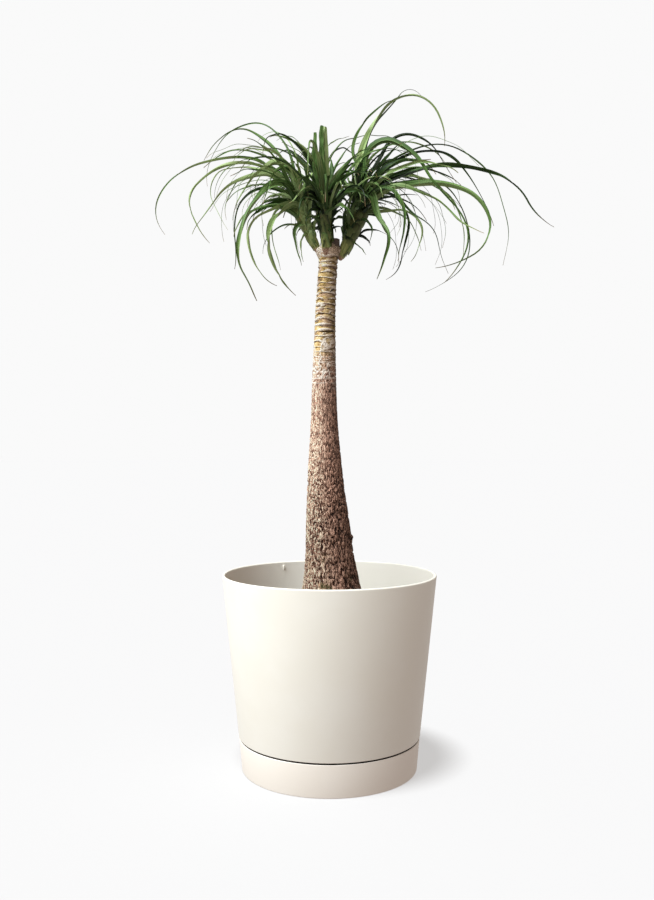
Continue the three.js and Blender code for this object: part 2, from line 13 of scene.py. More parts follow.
import bpy
import numpy as np
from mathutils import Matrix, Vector


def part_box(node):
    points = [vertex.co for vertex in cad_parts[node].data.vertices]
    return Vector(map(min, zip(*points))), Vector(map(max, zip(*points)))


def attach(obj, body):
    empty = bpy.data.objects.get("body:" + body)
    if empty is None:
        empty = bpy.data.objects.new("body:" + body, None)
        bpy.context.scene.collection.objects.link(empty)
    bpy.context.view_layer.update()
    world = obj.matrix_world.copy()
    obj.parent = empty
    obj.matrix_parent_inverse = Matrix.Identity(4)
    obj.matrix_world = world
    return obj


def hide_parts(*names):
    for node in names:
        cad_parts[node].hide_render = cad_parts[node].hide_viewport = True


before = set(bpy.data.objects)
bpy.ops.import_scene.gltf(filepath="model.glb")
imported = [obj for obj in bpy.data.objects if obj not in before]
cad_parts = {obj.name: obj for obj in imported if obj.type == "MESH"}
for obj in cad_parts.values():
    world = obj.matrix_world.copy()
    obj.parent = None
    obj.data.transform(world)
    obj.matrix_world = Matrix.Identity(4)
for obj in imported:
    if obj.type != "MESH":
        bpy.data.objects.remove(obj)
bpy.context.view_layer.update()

log = logging.getLogger("ponytail_palm")

MM = 0.001
GAP = 0.3  # air between two pieces that rest on each other
CREASE = 40.0  # moulded edges that bend by more degrees than this stay sharp
DRAW_FACTORS = (127.1, 311.7, 43758.5453)  # uneven, so that near items draw far apart

Pair = tuple[float, float]
Triple = tuple[float, float, float]
Stop = tuple[float, Triple]
LeafRow = tuple[float, float, float, float, tuple[float, ...]]
Array = np.ndarray
Body = bpy.types.Object
Material = bpy.types.Material
Socket = bpy.types.NodeSocket
Value = Socket | float
Colour = Socket | Triple


# ---------------- numbers


def lerp(a: float, b: float, share: float) -> float:
    """The value at a share of the way from a to b."""
    return a + (b - a) * share


def smoothstep(values: Array, low: float, high: float) -> Array:
    """Smooth steps from 0 at low to 1 at high."""
    t = np.clip((np.asarray(values, float) - low) / (high - low), 0, 1)
    return t * t * (3 - 2 * t)


def draw(item: float, stream: float) -> float:
    """Draws a repeatable number.

    Args:
        item: the number of the thing that the draw is for.
        stream: the number of the trait that is drawn for it.

    Returns:
        A number between 0 and 1.
    """
    by_item, by_stream, spread = DRAW_FACTORS
    value = math.sin(item * by_item + stream * by_stream) * spread
    return value - math.floor(value)


def draw_in(span: Pair, item: float, stream: float) -> float:
    """A draw spread over a span."""
    return lerp(span[0], span[1], draw(item, stream))


def read_curve(pairs: list[Pair], at: Array) -> Array:
    """Reads a smooth curve through pairs.

    Args:
        pairs: (position, value) pairs in rising order of position.
        at: the positions to read.

    Returns:
        The curve's value at each position.
    """
    x, y = np.array(pairs, float).T
    last = len(x) - 1
    before, after = np.maximum(np.arange(last + 1) - 1, 0), np.minimum(np.arange(last + 1) + 1, last)
    slopes = (y[after] - y[before]) / (x[after] - x[before])
    at = np.asarray(at, float)
    i = np.clip(np.searchsorted(x, at, side="left") - 1, 0, last - 1)
    span = x[i + 1] - x[i]
    t = np.clip((at - x[i]) / span, 0, 1)
    rise = t * t * (3 - 2 * t)
    leave = t * (1 - t) ** 2 * span * slopes[i]
    arrive = t * t * (t - 1) * span * slopes[i + 1]
    return y[i] + (y[i + 1] - y[i]) * rise + leave + arrive


def full_turn(count: int) -> Array:
    """Evenly spaced angles round a full turn, in radians."""
    return np.arange(count) * 2 * math.pi / count


def compass(azimuth: float) -> Array:
    """The level direction of an azimuth."""
    return np.array([math.cos(math.radians(azimuth)), math.sin(math.radians(azimuth)), 0.0])


def rotation(angle: float, axis: int = 2) -> Array:
    """Works out the matrix of a turn.

    Args:
        angle: the turn in radians.
        axis: what it goes about: 0 for +X, 1 for +Y and 2 for +Z.

    Returns:
        The matrix, by whose transpose rows of places are multiplied.
    """
    a, b = (axis + 1) % 3, (axis + 2) % 3
    matrix = np.eye(3)
    matrix[a, a] = matrix[b, b] = math.cos(angle)
    matrix[a, b], matrix[b, a] = -math.sin(angle), math.sin(angle)
    return matrix


# ---------------- patterns


class Pattern(IntEnum):
    """The seed of each random pattern, so that no two are alike."""

    LUMPS = 5
    CRUMBS = 21
    CLODS = 22
    SCAR_SWAY = 31
    SCAR_WIDTH = 41
    SCAR_PATCHES = 51
    SCAR_START = 61
    NET = 65
    NET_BEND = 66
    CORK_WARP = 71
    CORK_COARSE = 72
    CORK_FINE = 73
    CORK_LUMPS = 74
    BARK_EDGE = 81
    SKIN_BANDS = 83
    KNUCKLE_EDGE = 84
    STUMP = 91


def in_cells(places: Array, across: float, up: float) -> Array:
    """Places counted in cells of so many millimetres across and up."""
    return places / np.array([across, across, up])


class Noise:
    """Seeded smooth noise and cells in three dimensions."""

    SIZE = 32  # steps of the lattice before it repeats
    FARTHEST = 9.0  # more than the distance of any spot from its place
    SHIFT = 7.3  # steps between one octave and the next

    def __init__(self, seed: int) -> None:
        """Draws the lattice.

        Args:
            seed: what makes this noise differ from another.
        """
        rng = np.random.default_rng(int(seed))
        self.values = rng.uniform(-1, 1, (self.SIZE,) * 3)
        self.spots = rng.uniform(0.1, 0.9, (self.SIZE,) * 3 + (3,))

    def at(self, places: Array) -> Array:
        """Reads the noise.

        Args:
            places: where to read it, in steps of the lattice.

        Returns:
            A number between -1 and 1 for each place.
        """
        base = np.floor(places).astype(int)
        t = places - base
        t = t * t * (3 - 2 * t)
        total = np.zeros(len(places))
        for corner in np.ndindex(2, 2, 2):
            weight = np.prod(np.where(corner, t, 1 - t), axis=1)
            total += weight * self.values[tuple(((base + corner) % self.SIZE).T)]
        return total

    def layered(self, places: Array, octaves: int = 3) -> Array:
        """Several octaves of noise, each half as strong and twice as fine."""
        shares = [0.5**k for k in range(octaves)]
        return sum(s * self.at(places / s + self.SHIFT * k) for k, s in enumerate(shares)) / sum(shares)

    def nearest(self, places: Array) -> Array:
        """Finds how near the scattered spots are.

        Args:
            places: where to look, in steps of the lattice.

        Returns:
            The distance from each place to the nearest spot.
        """
        base = np.floor(places).astype(int)
        near = np.full(len(places), self.FARTHEST)
        for corner in np.ndindex(3, 3, 3):
            cell = base + np.array(corner) - 1
            spot = cell + self.spots[tuple((cell % self.SIZE).T)]
            near = np.minimum(near, np.linalg.norm(spot - places, axis=1))
        return near


# ---------------- meshes


def grid_faces(rows: int, columns: int) -> Array:
    """Makes the four-sided faces between closed rings of points.

    Args:
        rows: how many rings there are.
        columns: how many points each ring has.

    Returns:
        The corner numbers of each face, ring by ring.
    """
    r, c = np.meshgrid(np.arange(rows - 1), np.arange(columns), indexing="ij")
    a, b = r * columns + c, r * columns + (c + 1) % columns
    return np.stack([a, b, b + columns, a + columns], axis=-1).reshape(-1, 4)


def tube_faces(rows: int, columns: int) -> list[list[int]]:
    """Makes the faces of a tube that is closed at both ends.

    Args:
        rows: how many rings the tube has.
        columns: how many points each ring has.

    Returns:
        The corner numbers of each face: the side's, the foot and the top.
    """
    last = (rows - 1) * columns
    ends = [list(range(columns - 1, -1, -1)), list(range(last, last + columns))]
    return grid_faces(rows, columns).tolist() + ends


@dataclass(frozen=True)
class TubeMap:
    """A tube's place on the flat map: a rectangle for its side and an oval for each end."""

    low: Pair
    high: Pair
    foot: Pair
    top: Pair
    reach: Pair

    def oval(self, middle: Pair, columns: int) -> Array:
        """Places round the oval of one end."""
        turns = full_turn(columns)
        return np.stack([m + r * f(turns) for m, r, f in zip(middle, self.reach, (np.cos, np.sin))], -1)

    def corners(self, rows: int, columns: int) -> Array:
        """Works out where the corners of a tube's faces lie.

        Args:
            rows: how many rings the tube has.
            columns: how many points each ring has.

        Returns:
            The place of each face corner, in the order of tube_faces.
        """
        row, column = np.divmod(np.arange((rows - 1) * columns), columns)
        shares = np.stack([column, column + 1, column + 1, column, row, row, row + 1, row + 1], -1)
        u = lerp(self.low[0], self.high[0], shares[:, :4] / columns)
        v = lerp(self.low[1], self.high[1], shares[:, 4:] / (rows - 1))
        ends = [self.oval(self.foot, columns)[::-1], self.oval(self.top, columns)]
        return np.vstack([np.stack([u, v], -1).reshape(-1, 2), *ends])


@dataclass
class Draft:
    """The points, faces and values of one mesh while it is put together, in millimetres."""

    points: list[Array] = field(default_factory=list)
    faces: list[list[int]] = field(default_factory=list)
    slots: list[int] = field(default_factory=list)
    charts: list[Array] = field(default_factory=list)
    values: dict[str, list[Array]] = field(default_factory=dict)
    count: int = 0

    def add(
        self,
        points: Array,
        faces: list[list[int]],
        slot: int = 0,
        chart: Array | None = None,
        **values: Array | float,
    ) -> None:
        """Adds points and the faces between them.

        Args:
            points: the places, one row each.
            faces: corner numbers of each face, counted within points.
            slot: which of the mesh's materials the faces take.
            chart: the place of each face corner on the mesh's flat map, between 0 and 1.
            **values: what the finish reads at each point, by name.
        """
        self.points.append(np.asarray(points, float))
        self.faces += [[int(i) + self.count for i in face] for face in faces]
        self.slots += [slot] * len(faces)
        if chart is not None:
            self.charts.append(chart)
        for name in {**self.values, **values}:
            held = self.values.setdefault(name, [np.zeros(self.count)] if self.count else [])
            held.append(np.broadcast_to(values.get(name, 0.0), len(points)).astype(float))
        self.count += len(points)

    def make(
        self, name: str, finishes: list[Material], crease: float = CREASE
    ) -> Body:
        """Makes the Blender object.

        Args:
            name: the object's name.
            finishes: its materials, in the order of the slots.
            crease: edges that bend by more degrees than this stay sharp.

        Returns:
            The object, linked to the scene.
        """
        mesh = bpy.data.meshes.new(name)
        mesh.from_pydata((np.vstack(self.points) * MM).tolist(), [], self.faces)
        for material in finishes:
            mesh.materials.append(material)
        mesh.polygons.foreach_set("material_index", np.array(self.slots, np.int32))
        mesh.polygons.foreach_set("use_smooth", np.ones(len(self.faces), bool))
        for key, parts in self.values.items():
            held = mesh.attributes.new(key, "FLOAT", "POINT")
            held.data.foreach_set("value", np.concatenate(parts).astype(np.float32))
        if self.charts:
            layer = mesh.uv_layers.new(name="OFBake")
            layer.data.foreach_set("uv", np.vstack(self.charts).astype(np.float32).ravel())
        mesh.update()
        mesh.set_sharp_from_angle(angle=math.radians(crease))
        made = bpy.data.objects.new(name, mesh)
        bpy.context.scene.collection.objects.link(made)
        return made


def softened(profile: list[Pair], radius: float, steps: int = 4, spare: float = 2.2) -> list[Pair]:
    """Rounds each inner corner of a profile.

    Args:
        profile: (radius, height) pairs.
        radius: how far from a corner its rounding starts.
        steps: the points of one rounding, less one.
        spare: a rounding takes up at most the length of a side divided by this.

    Returns:
        The profile with its corners rounded.
    """
    soft = [profile[0]]
    for before, corner, after in zip(profile, profile[1:], profile[2:]):
        a, b, c = (np.array(p, float) for p in (before, corner, after))
        reach = min(radius, np.linalg.norm(a - b) / spare, np.linalg.norm(c - b) / spare)
        start = b + (a - b) / np.linalg.norm(a - b) * reach
        end = b + (c - b) / np.linalg.norm(c - b) * reach
        for t in np.linspace(0, 1, steps + 1):
            soft.append(tuple(start * (1 - t) ** 2 + 2 * b * t * (1 - t) + end * t * t))
    return soft + [profile[-1]]


def round_lip(outer: float, inner: float, top: float, steps: int = 12) -> list[Pair]:
    """Rounds the top of a wall.

    Args:
        outer: the wall's outer radius.
        inner: its inner radius.
        top: the height of its top.
        steps: how many steps the half circle has.

    Returns:
        The (radius, height) pairs of a half circle, from the outside over the top.
    """
    middle, half = (outer + inner) / 2, (outer - inner) / 2
    turns = np.linspace(0, math.pi, steps + 1)
    return [(middle + half * math.cos(a), top - half + half * math.sin(a)) for a in turns]


def turned(draft: Draft, profile: list[Pair], sides: int) -> None:
    """Adds a body turned about +Z, whose profile starts and ends on the axis.

    Args:
        draft: the mesh to add to.
        profile: (radius, height) pairs, from the axis round to the axis.
        sides: how many sides the body has.
    """
    rings, turns = np.array(profile[1:-1]), full_turn(sides)
    flat = [rings[:, :1] * np.cos(turns), rings[:, :1] * np.sin(turns)]
    heights = np.broadcast_to(rings[:, 1:], (len(rings), sides))
    points = np.stack([*flat, heights], axis=-1).reshape(-1, 3)
    poles = np.array([[0, 0, profile[0][1]], [0, 0, profile[-1][1]]])
    count = len(points)
    faces = grid_faces(len(rings), sides).tolist()
    for s in range(sides):
        faces.append([count, (s + 1) % sides, s])
        faces.append([count + 1, count - sides + s, count - sides + (s + 1) % sides])
    draft.add(np.vstack([points, poles]), faces)


class Join(Enum):
    """How bodies are combined."""

    ADD = "UNION"
    CUT = "DIFFERENCE"


def combine(body: Body, others: list[Body], how: Join) -> None:
    """Joins other bodies to a body, or cuts them out of it, and removes them.

    Args:
        body: the body that stays.
        others: the bodies that are joined or cut out.
        how: whether they are joined or cut out.
    """
    for other in others:
        step = body.modifiers.new("combine", "BOOLEAN")
        step.operation, step.solver, step.object = how.value, "MANIFOLD", other
    bpy.context.view_layer.update()
    whole = body.evaluated_get(bpy.context.evaluated_depsgraph_get())
    body.data = bpy.data.meshes.new_from_object(whole)
    body.modifiers.clear()
    for other in others:
        bpy.data.objects.remove(other)


BLOCK_CORNERS = np.array([[x, y, z] for x in (-1, 1) for y in (-1, 1) for z in (-1, 1)])
BLOCK_FACES = [[0, 1, 3, 2], [4, 6, 7, 5], [0, 4, 5, 1], [2, 3, 7, 6], [0, 2, 6, 4], [1, 5, 7, 3]]


def block(size: Triple, centre: Triple, azimuth: float) -> Body:
    """Makes a cutting block.

    Args:
        size: its size before it is turned.
        centre: where its middle is moved to.
        azimuth: how far it is then turned about +Z.

    Returns:
        The block.
    """
    draft = Draft()
    corners = BLOCK_CORNERS * (np.array(size) / 2) + centre
    draft.add(corners @ rotation(math.radians(azimuth)).T, BLOCK_FACES)
    return draft.make("block", [])


def seated(piece: Body, nodes: list[str]) -> None:
    """Lets a piece ride on the plant's one body and stand for its CAD nodes.

    Args:
        piece: the finished object.
        nodes: the CAD nodes that it replaces.
    """
    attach(piece, "root")
    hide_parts(*nodes)
    log.info("%s: %d faces", piece.name, len(piece.data.polygons))


# ---------------- finishes


class Recipe:
    """Builds the node tree of one material, node by node."""

    def __init__(self, name: str, roughness: float, shine: float) -> None:
        """Starts the material.

        Args:
            name: the material's name.
            roughness: how matt the surface is, where no node says otherwise.
            shine: its specular level, half of which is the usual one.
        """
        self.material = bpy.data.materials.new(name)
        self.material.use_nodes = True
        self.tree = self.material.node_tree
        self.shader = self.tree.nodes["Principled BSDF"]
        self.shader.inputs["Roughness"].default_value = roughness
        self.shader.inputs["Specular IOR Level"].default_value = shine

    def node(self, kind: str, inputs: dict, output: int | str = 0, **settings: object) -> Socket:
        """Adds a node.

        Args:
            kind: the node's type, without its usual first part.
            inputs: a value or a socket for each of its inputs, by name or number.
            output: which of its outputs is wanted.
            **settings: the node's own properties.

        Returns:
            The wanted output.
        """
        made = self.tree.nodes.new("ShaderNode" + kind)
        for key, value in settings.items():
            setattr(made, key, value)
        for key, value in inputs.items():
            if isinstance(value, Socket):
                self.tree.links.new(value, made.inputs[key])
            else:
                made.inputs[key].default_value = value
        return made.outputs[output]

    def math(self, kind: str, a: Value, b: Value = 0.0, clamp: bool = False) -> Socket:
        """One sum on two values."""
        return self.node("Math", {0: a, 1: b}, operation=kind, use_clamp=clamp)

    def plus(self, a: Value, b: Value, clamp: bool = False) -> Socket:
        """One value added to another."""
        return self.math("ADD", a, b, clamp)

    def minus(self, a: Value, b: Value) -> Socket:
        """One value taken from another."""
        return self.math("SUBTRACT", a, b)

    def times(self, a: Value, b: Value) -> Socket:
        """One value times another."""
        return self.math("MULTIPLY", a, b)

    def size(self, value: Socket) -> Socket:
        """A value without its sign."""
        return self.math("ABSOLUTE", value)

    def vector(self, kind: str, a: Colour, b: Colour | Value) -> Socket:
        """One sum on two colours or places, part by part."""
        return self.node("VectorMath", {0: a, 1: b}, operation=kind)

    def step(self, value: Socket, low: float, high: float) -> Socket:
        """A smooth step from 0 at low to 1 at high."""
        inputs = {"Value": value, "From Min": low, "From Max": high}
        return self.node("MapRange", inputs, interpolation_type="SMOOTHSTEP")

    def spread(self, value: Socket, start: float, stop: float, low: float = 0, high: float = 1) -> Socket:
        """A value that goes from start to stop while another goes from low to high."""
        ends = {"From Min": low, "From Max": high, "To Min": start, "To Max": stop}
        return self.node("MapRange", {"Value": value, **ends})

    def places(self, stretch: Triple | None = None) -> Socket:
        """The surface's own coordinates in metres, each times its share of a stretch."""
        own = self.node("TexCoord", {}, "Object")
        return own if stretch is None else self.vector("MULTIPLY", own, stretch)

    def value(self, name: str) -> Socket:
        """A value that the mesh holds at its points."""
        return self.node("Attribute", {}, "Fac", attribute_name=name)

    def noise(self, scale: float, detail: float = 4, where: Socket | None = None) -> Socket:
        """Cloudy noise whose features are about 1 / scale metres wide."""
        vector = self.places() if where is None else where
        return self.node("TexNoise", {"Vector": vector, "Scale": scale, "Detail": detail})

    def cracks(self, scale: float, width: float, stretch: Triple) -> Socket:
        """Thin wandering lines: 0 on them and 1 beside them."""
        cloud = self.noise(scale, 2, self.places(stretch))
        return self.step(self.size(self.minus(cloud, 0.5)), 0.0, width)

    def mix(self, share: Value, a: Colour, b: Colour) -> Socket:
        """A colour between two colours, by its share of the second."""
        first, second = ((*c, 1) if isinstance(c, tuple) else c for c in (a, b))
        return self.node("Mix", {0: share, 6: first, 7: second}, 2, data_type="RGBA")

    def ramp(self, share: Socket, stops: tuple[Stop, ...]) -> Socket:
        """Reads a colour from a ramp.

        Args:
            share: how far along the ramp it is read.
            stops: the places and the colours of the ramp, in rising order.

        Returns:
            The colour.
        """
        socket = self.node("ValToRGB", {"Fac": share})
        band = socket.node.color_ramp
        for end, (place, colour) in ((0, stops[0]), (1, stops[-1])):
            band.elements[end].position, band.elements[end].color = place, (*colour, 1)
        for place, colour in stops[1:-1]:
            band.elements.new(place).color = (*colour, 1)
        return socket

    def paint(self, colour: Socket) -> None:
        """Gives the surface its colour."""
        self.tree.links.new(colour, self.shader.inputs["Base Color"])

    def roughen(self, roughness: Socket) -> None:
        """Gives the surface a roughness that varies."""
        self.tree.links.new(roughness, self.shader.inputs["Roughness"])

    def bump(self, height: Socket, depth: float, strength: float = 1.0) -> None:
        """Gives the surface a fine relief, so many millimetres deep."""
        inputs = {"Height": height, "Distance": depth * MM, "Strength": strength}
        self.tree.links.new(self.node("Bump", inputs, "Normal"), self.shader.inputs["Normal"])


@dataclass(frozen=True)
class PlasticFinish:
    """Matt moulded plastic, a little cloudy, with a fine grain and painted shade in the seam."""

    name: str
    colour: Triple
    cloud: Triple
    seam_shade_radius: float  # painted seam shade lies nearer to the axis than this
    seam_shade_from: float  # and higher than this
    seam_shade_to: float  # and lower than this
    # painted shade: the dark colour of the seam's recess stands in for its shadow
    seam_shade_colour: Triple = (0.035, 0.024, 0.018)
    dust: float = 0.93  # brightness of a dusty speck as a share of the plastic's
    roughness: float = 0.55
    shine: float = 0.3
    grain: float = 0.05

    def paint_seam_shade(self, recipe: Recipe) -> Socket:
        """Finds where shade is painted in the seam.

        Args:
            recipe: the material that is being built.

        Returns:
            1 where the painted shade lies and 0 elsewhere.
        """
        reach = recipe.node("VectorMath", {0: recipe.places((1, 1, 0))}, "Value", operation="LENGTH")
        height = recipe.node("SeparateXYZ", {0: recipe.places()}, "Z")
        inside = recipe.math("LESS_THAN", reach, self.seam_shade_radius * MM)
        above = recipe.math("GREATER_THAN", height, self.seam_shade_from * MM)
        below = recipe.math("LESS_THAN", height, self.seam_shade_to * MM)
        return recipe.times(inside, recipe.times(above, below))

    def build(self) -> Material:
        """Makes the material.

        Returns:
            The material.
        """
        recipe = Recipe(self.name, self.roughness, self.shine)
        clouds = recipe.step(recipe.noise(13, 5), 0.36, 0.68)
        specks = recipe.step(recipe.noise(620, 3), 0.66, 0.76)
        dusty = tuple(self.dust * c for c in self.colour)
        clean = recipe.mix(recipe.times(specks, 0.35), recipe.mix(clouds, self.colour, self.cloud), dusty)
        # painted shade: the seam's recess is coloured dark, as if in shadow
        recipe.paint(recipe.mix(self.paint_seam_shade(recipe), clean, self.seam_shade_colour))
        recipe.roughen(recipe.spread(clouds, self.roughness - 0.05, self.roughness + 0.06))
        recipe.bump(recipe.plus(recipe.noise(1500, 2), recipe.times(recipe.noise(110, 3), 0.6)), self.grain)
        return recipe.material


@dataclass(frozen=True)
class SoilFinish:
    """Crumbly potting soil."""

    name: str = "potting_soil_crumbs"
    earth: tuple[Stop, ...] = (
        (0.3, (0.012, 0.008, 0.006)),
        (0.5, (0.035, 0.022, 0.015)),
        (0.72, (0.085, 0.055, 0.036)),
    )
    fibre: Triple = (0.16, 0.11, 0.07)
    chip: Triple = (0.2, 0.125, 0.075)
    roughness: float = 0.92
    shine: float = 0.25
    grain: float = 0.5

    def build(self) -> Material:
        """Makes the material.

        Returns:
            The material.
        """
        recipe = Recipe(self.name, self.roughness, self.shine)
        earth = recipe.ramp(recipe.noise(240, 6), self.earth)
        fibres = recipe.step(recipe.noise(900, 3), 0.55, 0.72)
        toned = recipe.mix(recipe.times(fibres, 0.4), earth, self.fibre)
        recipe.paint(recipe.mix(recipe.value("tone"), toned, self.chip))
        recipe.bump(recipe.noise(1300, 4), self.grain)
        return recipe.material


@dataclass(frozen=True)
class GritFinish:
    """Pale porous grit that lightens potting soil."""

    name: str = "pale_grit"
    dull: Triple = (0.5, 0.46, 0.4)
    bright: Triple = (0.82, 0.8, 0.76)
    roughness: float = 0.9
    shine: float = 0.3
    grain: float = 0.3

    def build(self) -> Material:
        """Makes the material.

        Returns:
            The material.
        """
        recipe = Recipe(self.name, self.roughness, self.shine)
        recipe.paint(recipe.mix(recipe.noise(900, 4), self.dull, self.bright))
        recipe.bump(recipe.noise(2200, 3), self.grain)
        return recipe.material


@dataclass(frozen=True)
class BarkFinish:
    """Corky bark with pale leaf scars. The mesh holds the relief, the scars and the cut wood."""

    name: str = "corky_bark"
    ridges: tuple[Stop, ...] = (
        (0.14, (0.007, 0.003, 0.002)),
        (0.36, (0.045, 0.02, 0.013)),
        (0.56, (0.225, 0.111, 0.074)),
        (0.82, (0.84, 0.49, 0.36)),
    )
    bands: tuple[Stop, ...] = (
        (0.2, (0.018, 0.01, 0.004)),
        (0.38, (0.13, 0.08, 0.026)),
        (0.56, (0.42, 0.29, 0.11)),
        (0.78, (0.74, 0.55, 0.33)),
    )
    fair_cork: tuple[Triple, Triple] = ((0.085, 0.04, 0.027), (0.85, 0.525, 0.39))
    moss: Triple = (0.13, 0.13, 0.05)
    pink_skin: tuple[Triple, Triple] = ((0.3, 0.17, 0.11), (0.66, 0.47, 0.36))
    knuckle: tuple[Triple, Triple] = ((0.24, 0.13, 0.08), (0.98, 0.8, 0.62))
    scar: Triple = (0.97, 0.85, 0.73)
    deadwood: tuple[Triple, Triple] = ((0.05, 0.036, 0.03), (0.26, 0.2, 0.17))
    painted_light_gain: Triple = (1.85, 1.85, 1.85)  # painted light: how much brighter the side towards the lamp is
    painted_light_cap: Triple = (0.93, 0.88, 0.8)  # what no bark with painted light passes
    painted_shade_factor: float = 0.46  # painted shade: brightness of the side away from the lamp
    aged: float = 0.68  # brightness of the lowest bark
    roughness: float = 0.88
    shine: float = 0.2
    grain: float = 0.6

    def cork(self, recipe: Recipe) -> Socket:
        """Colours the tan ridges with dark fissures, lighter towards the ringed part.

        Args:
            recipe: the material that is being built.

        Returns:
            The colour.
        """
        fine = recipe.cracks(300, 0.07, (1, 1, 0.25))
        finest = recipe.cracks(520, 0.11, (1, 1, 0.33))
        lines = recipe.times(fine, recipe.plus(recipe.times(finest, 0.7), 0.3))
        relief = recipe.times(recipe.value("relief"), 0.4)
        ridges = recipe.ramp(recipe.plus(relief, recipe.times(lines, 0.6)), self.ridges)
        fair = recipe.times(recipe.value("fair"), 0.6)
        lit = recipe.mix(fair, ridges, recipe.mix(lines, *self.fair_cork))
        moss = recipe.times(recipe.step(recipe.noise(60, 4), 0.6, 0.72), recipe.value("damp"))
        return recipe.mix(recipe.times(moss, 0.5), lit, self.moss)

    def skin(self, recipe: Recipe) -> Socket:
        """Colours the golden and olive skin between the scars, with pinkish patches.

        Args:
            recipe: the material that is being built.

        Returns:
            The colour.
        """
        grain = recipe.noise(420, 4, recipe.places((1, 1, 1.6)))
        height = recipe.plus(recipe.times(recipe.value("relief"), 0.7), recipe.times(grain, 0.4))
        pink = recipe.step(recipe.noise(95, 3, recipe.places((1, 1, 2))), 0.48, 0.66)
        bands = recipe.ramp(height, self.bands)
        return recipe.mix(recipe.times(pink, 0.6), bands, recipe.mix(grain, *self.pink_skin))

    def paint_light_and_age(self, recipe: Recipe, body: Socket, speckle: Socket) -> Socket:
        """Paints light on the side towards the lamp and shade on the side away from it, and darkens the
        oldest bark.

        Args:
            recipe: the material that is being built.
            body: the colour of the fresh bark.
            speckle: fine cloudy noise.

        Returns:
            The colour with its painted light and shade, and its age.
        """
        # painted light and shade: the side towards the lamp is paled and the far side darkened
        painted_lit = recipe.value("painted_light_side")
        painted_light_colour = recipe.vector("MINIMUM", recipe.vector("MULTIPLY", body, self.painted_light_gain), self.painted_light_cap)
        with_painted_light = recipe.mix(recipe.step(painted_lit, 0.5, 1.0), body, painted_light_colour)
        painted_shade_factor = recipe.spread(painted_lit, self.painted_shade_factor, 1.0, 0.0, 0.6)
        aged = recipe.spread(recipe.value("height"), self.aged, 1.0)
        speckled = recipe.spread(speckle, 0.78, 1.22, 0.3, 0.7)
        return recipe.vector("MULTIPLY", with_painted_light, recipe.times(speckled, recipe.times(painted_shade_factor, aged)))

    def build(self) -> Material:
        """Makes the material.

        Returns:
            The material.
        """
        recipe = Recipe(self.name, self.roughness, self.shine)
        fine = recipe.noise(700, 5)
        body = recipe.mix(recipe.value("ringed"), self.cork(recipe), self.skin(recipe))
        mottled = recipe.mix(recipe.step(fine, 0.4, 0.57), *self.knuckle)
        body = recipe.mix(recipe.value("rust"), body, mottled)
        body = recipe.mix(recipe.value("scar"), body, self.scar)
        body = recipe.mix(recipe.value("deadwood"), body, recipe.mix(fine, *self.deadwood))
        recipe.paint(self.paint_light_and_age(recipe, body, fine))
        recipe.bump(recipe.plus(fine, recipe.times(recipe.noise(2400, 3), 0.4)), self.grain)
        return recipe.material


@dataclass(frozen=True)
class LeafFinish:
    """Strap leaves: pale at the sheath, veined along their length, dry at the tip."""

    name: str = "strap_leaf"
    greens: tuple[Stop, ...] = (
        (0.0, (0.005, 0.015, 0.003)),
        (0.28, (0.03, 0.072, 0.014)),
        (0.6, (0.118, 0.228, 0.056)),
        (1.0, (0.39, 0.51, 0.22)),
    )
    rib: Triple = (0.25, 0.32, 0.12)
    sheath: tuple[Triple, Triple] = ((0.34, 0.38, 0.13), (0.035, 0.05, 0.015))  # middle and edge
    dry_tip: Triple = (0.26, 0.16, 0.08)
    husk: tuple[Triple, Triple] = ((0.13, 0.16, 0.04), (0.5, 0.53, 0.2))
    cork: tuple[Triple, Triple] = ((0.2, 0.105, 0.068), (0.6, 0.4, 0.29))
    roughness: Pair = (0.36, 0.56)
    shine: float = 0.14
    grain: float = 0.2

    def blade(self, recipe: Recipe, streaks: Socket) -> Socket:
        """Colours a leaf from its sheath to its tip.

        Args:
            recipe: the material that is being built.
            streaks: noise drawn out along the leaf.

        Returns:
            The colour.
        """
        along, side, tone = (recipe.value(name) for name in ("along", "side", "tone"))
        # painted light and shade: the side term makes one half of the blade lighter than the other, as on a
        # folded leaf
        shift = recipe.plus(recipe.times(recipe.minus(streaks, 0.5), 1.2), recipe.times(side, 0.14))
        green = recipe.ramp(recipe.plus(tone, shift, clamp=True), self.greens)
        off_middle = recipe.size(side)
        rib = recipe.minus(1.0, recipe.step(off_middle, 0.02, 0.16))
        green = recipe.mix(recipe.times(rib, 0.3), green, self.rib)
        pale = recipe.minus(1.0, recipe.step(along, -0.1, 0.1))
        sheath = recipe.mix(recipe.step(off_middle, 0.5, 1.0), *self.sheath)
        sheathed = recipe.mix(recipe.times(pale, 0.75), green, sheath)
        dry = recipe.times(recipe.step(along, 0.88, 1.0), recipe.value("dry"))
        return recipe.mix(dry, sheathed, self.dry_tip)

    def build(self) -> Material:
        """Makes the material.

        Returns:
            The material.
        """
        recipe = Recipe(self.name, sum(self.roughness) / 2, self.shine)
        across, onward = recipe.times(recipe.value("side"), 2.6), recipe.times(recipe.value("along"), 3.6)
        kind = recipe.times(recipe.value("tone"), 61.0)
        lanes = recipe.node("CombineXYZ", {0: across, 1: onward, 2: kind})
        streaks = recipe.noise(1.4, 3, lanes)
        body = recipe.mix(
            recipe.value("husk"), self.blade(recipe, streaks), recipe.mix(streaks, *self.husk)
        )
        # painted shade: darker where the mesh's depth value is high, deep in the head
        body = recipe.vector("MULTIPLY", body, recipe.minus(1.0, recipe.value("depth")))
        fibres = recipe.step(recipe.noise(700, 4), 0.36, 0.62)
        recipe.paint(recipe.mix(recipe.value("cork"), body, recipe.mix(fibres, *self.cork)))
        recipe.roughen(recipe.spread(streaks, *self.roughness))
        recipe.bump(recipe.noise(9.0, 2, lanes), self.grain, 0.6)
        return recipe.material


# ---------------- planter and saucer


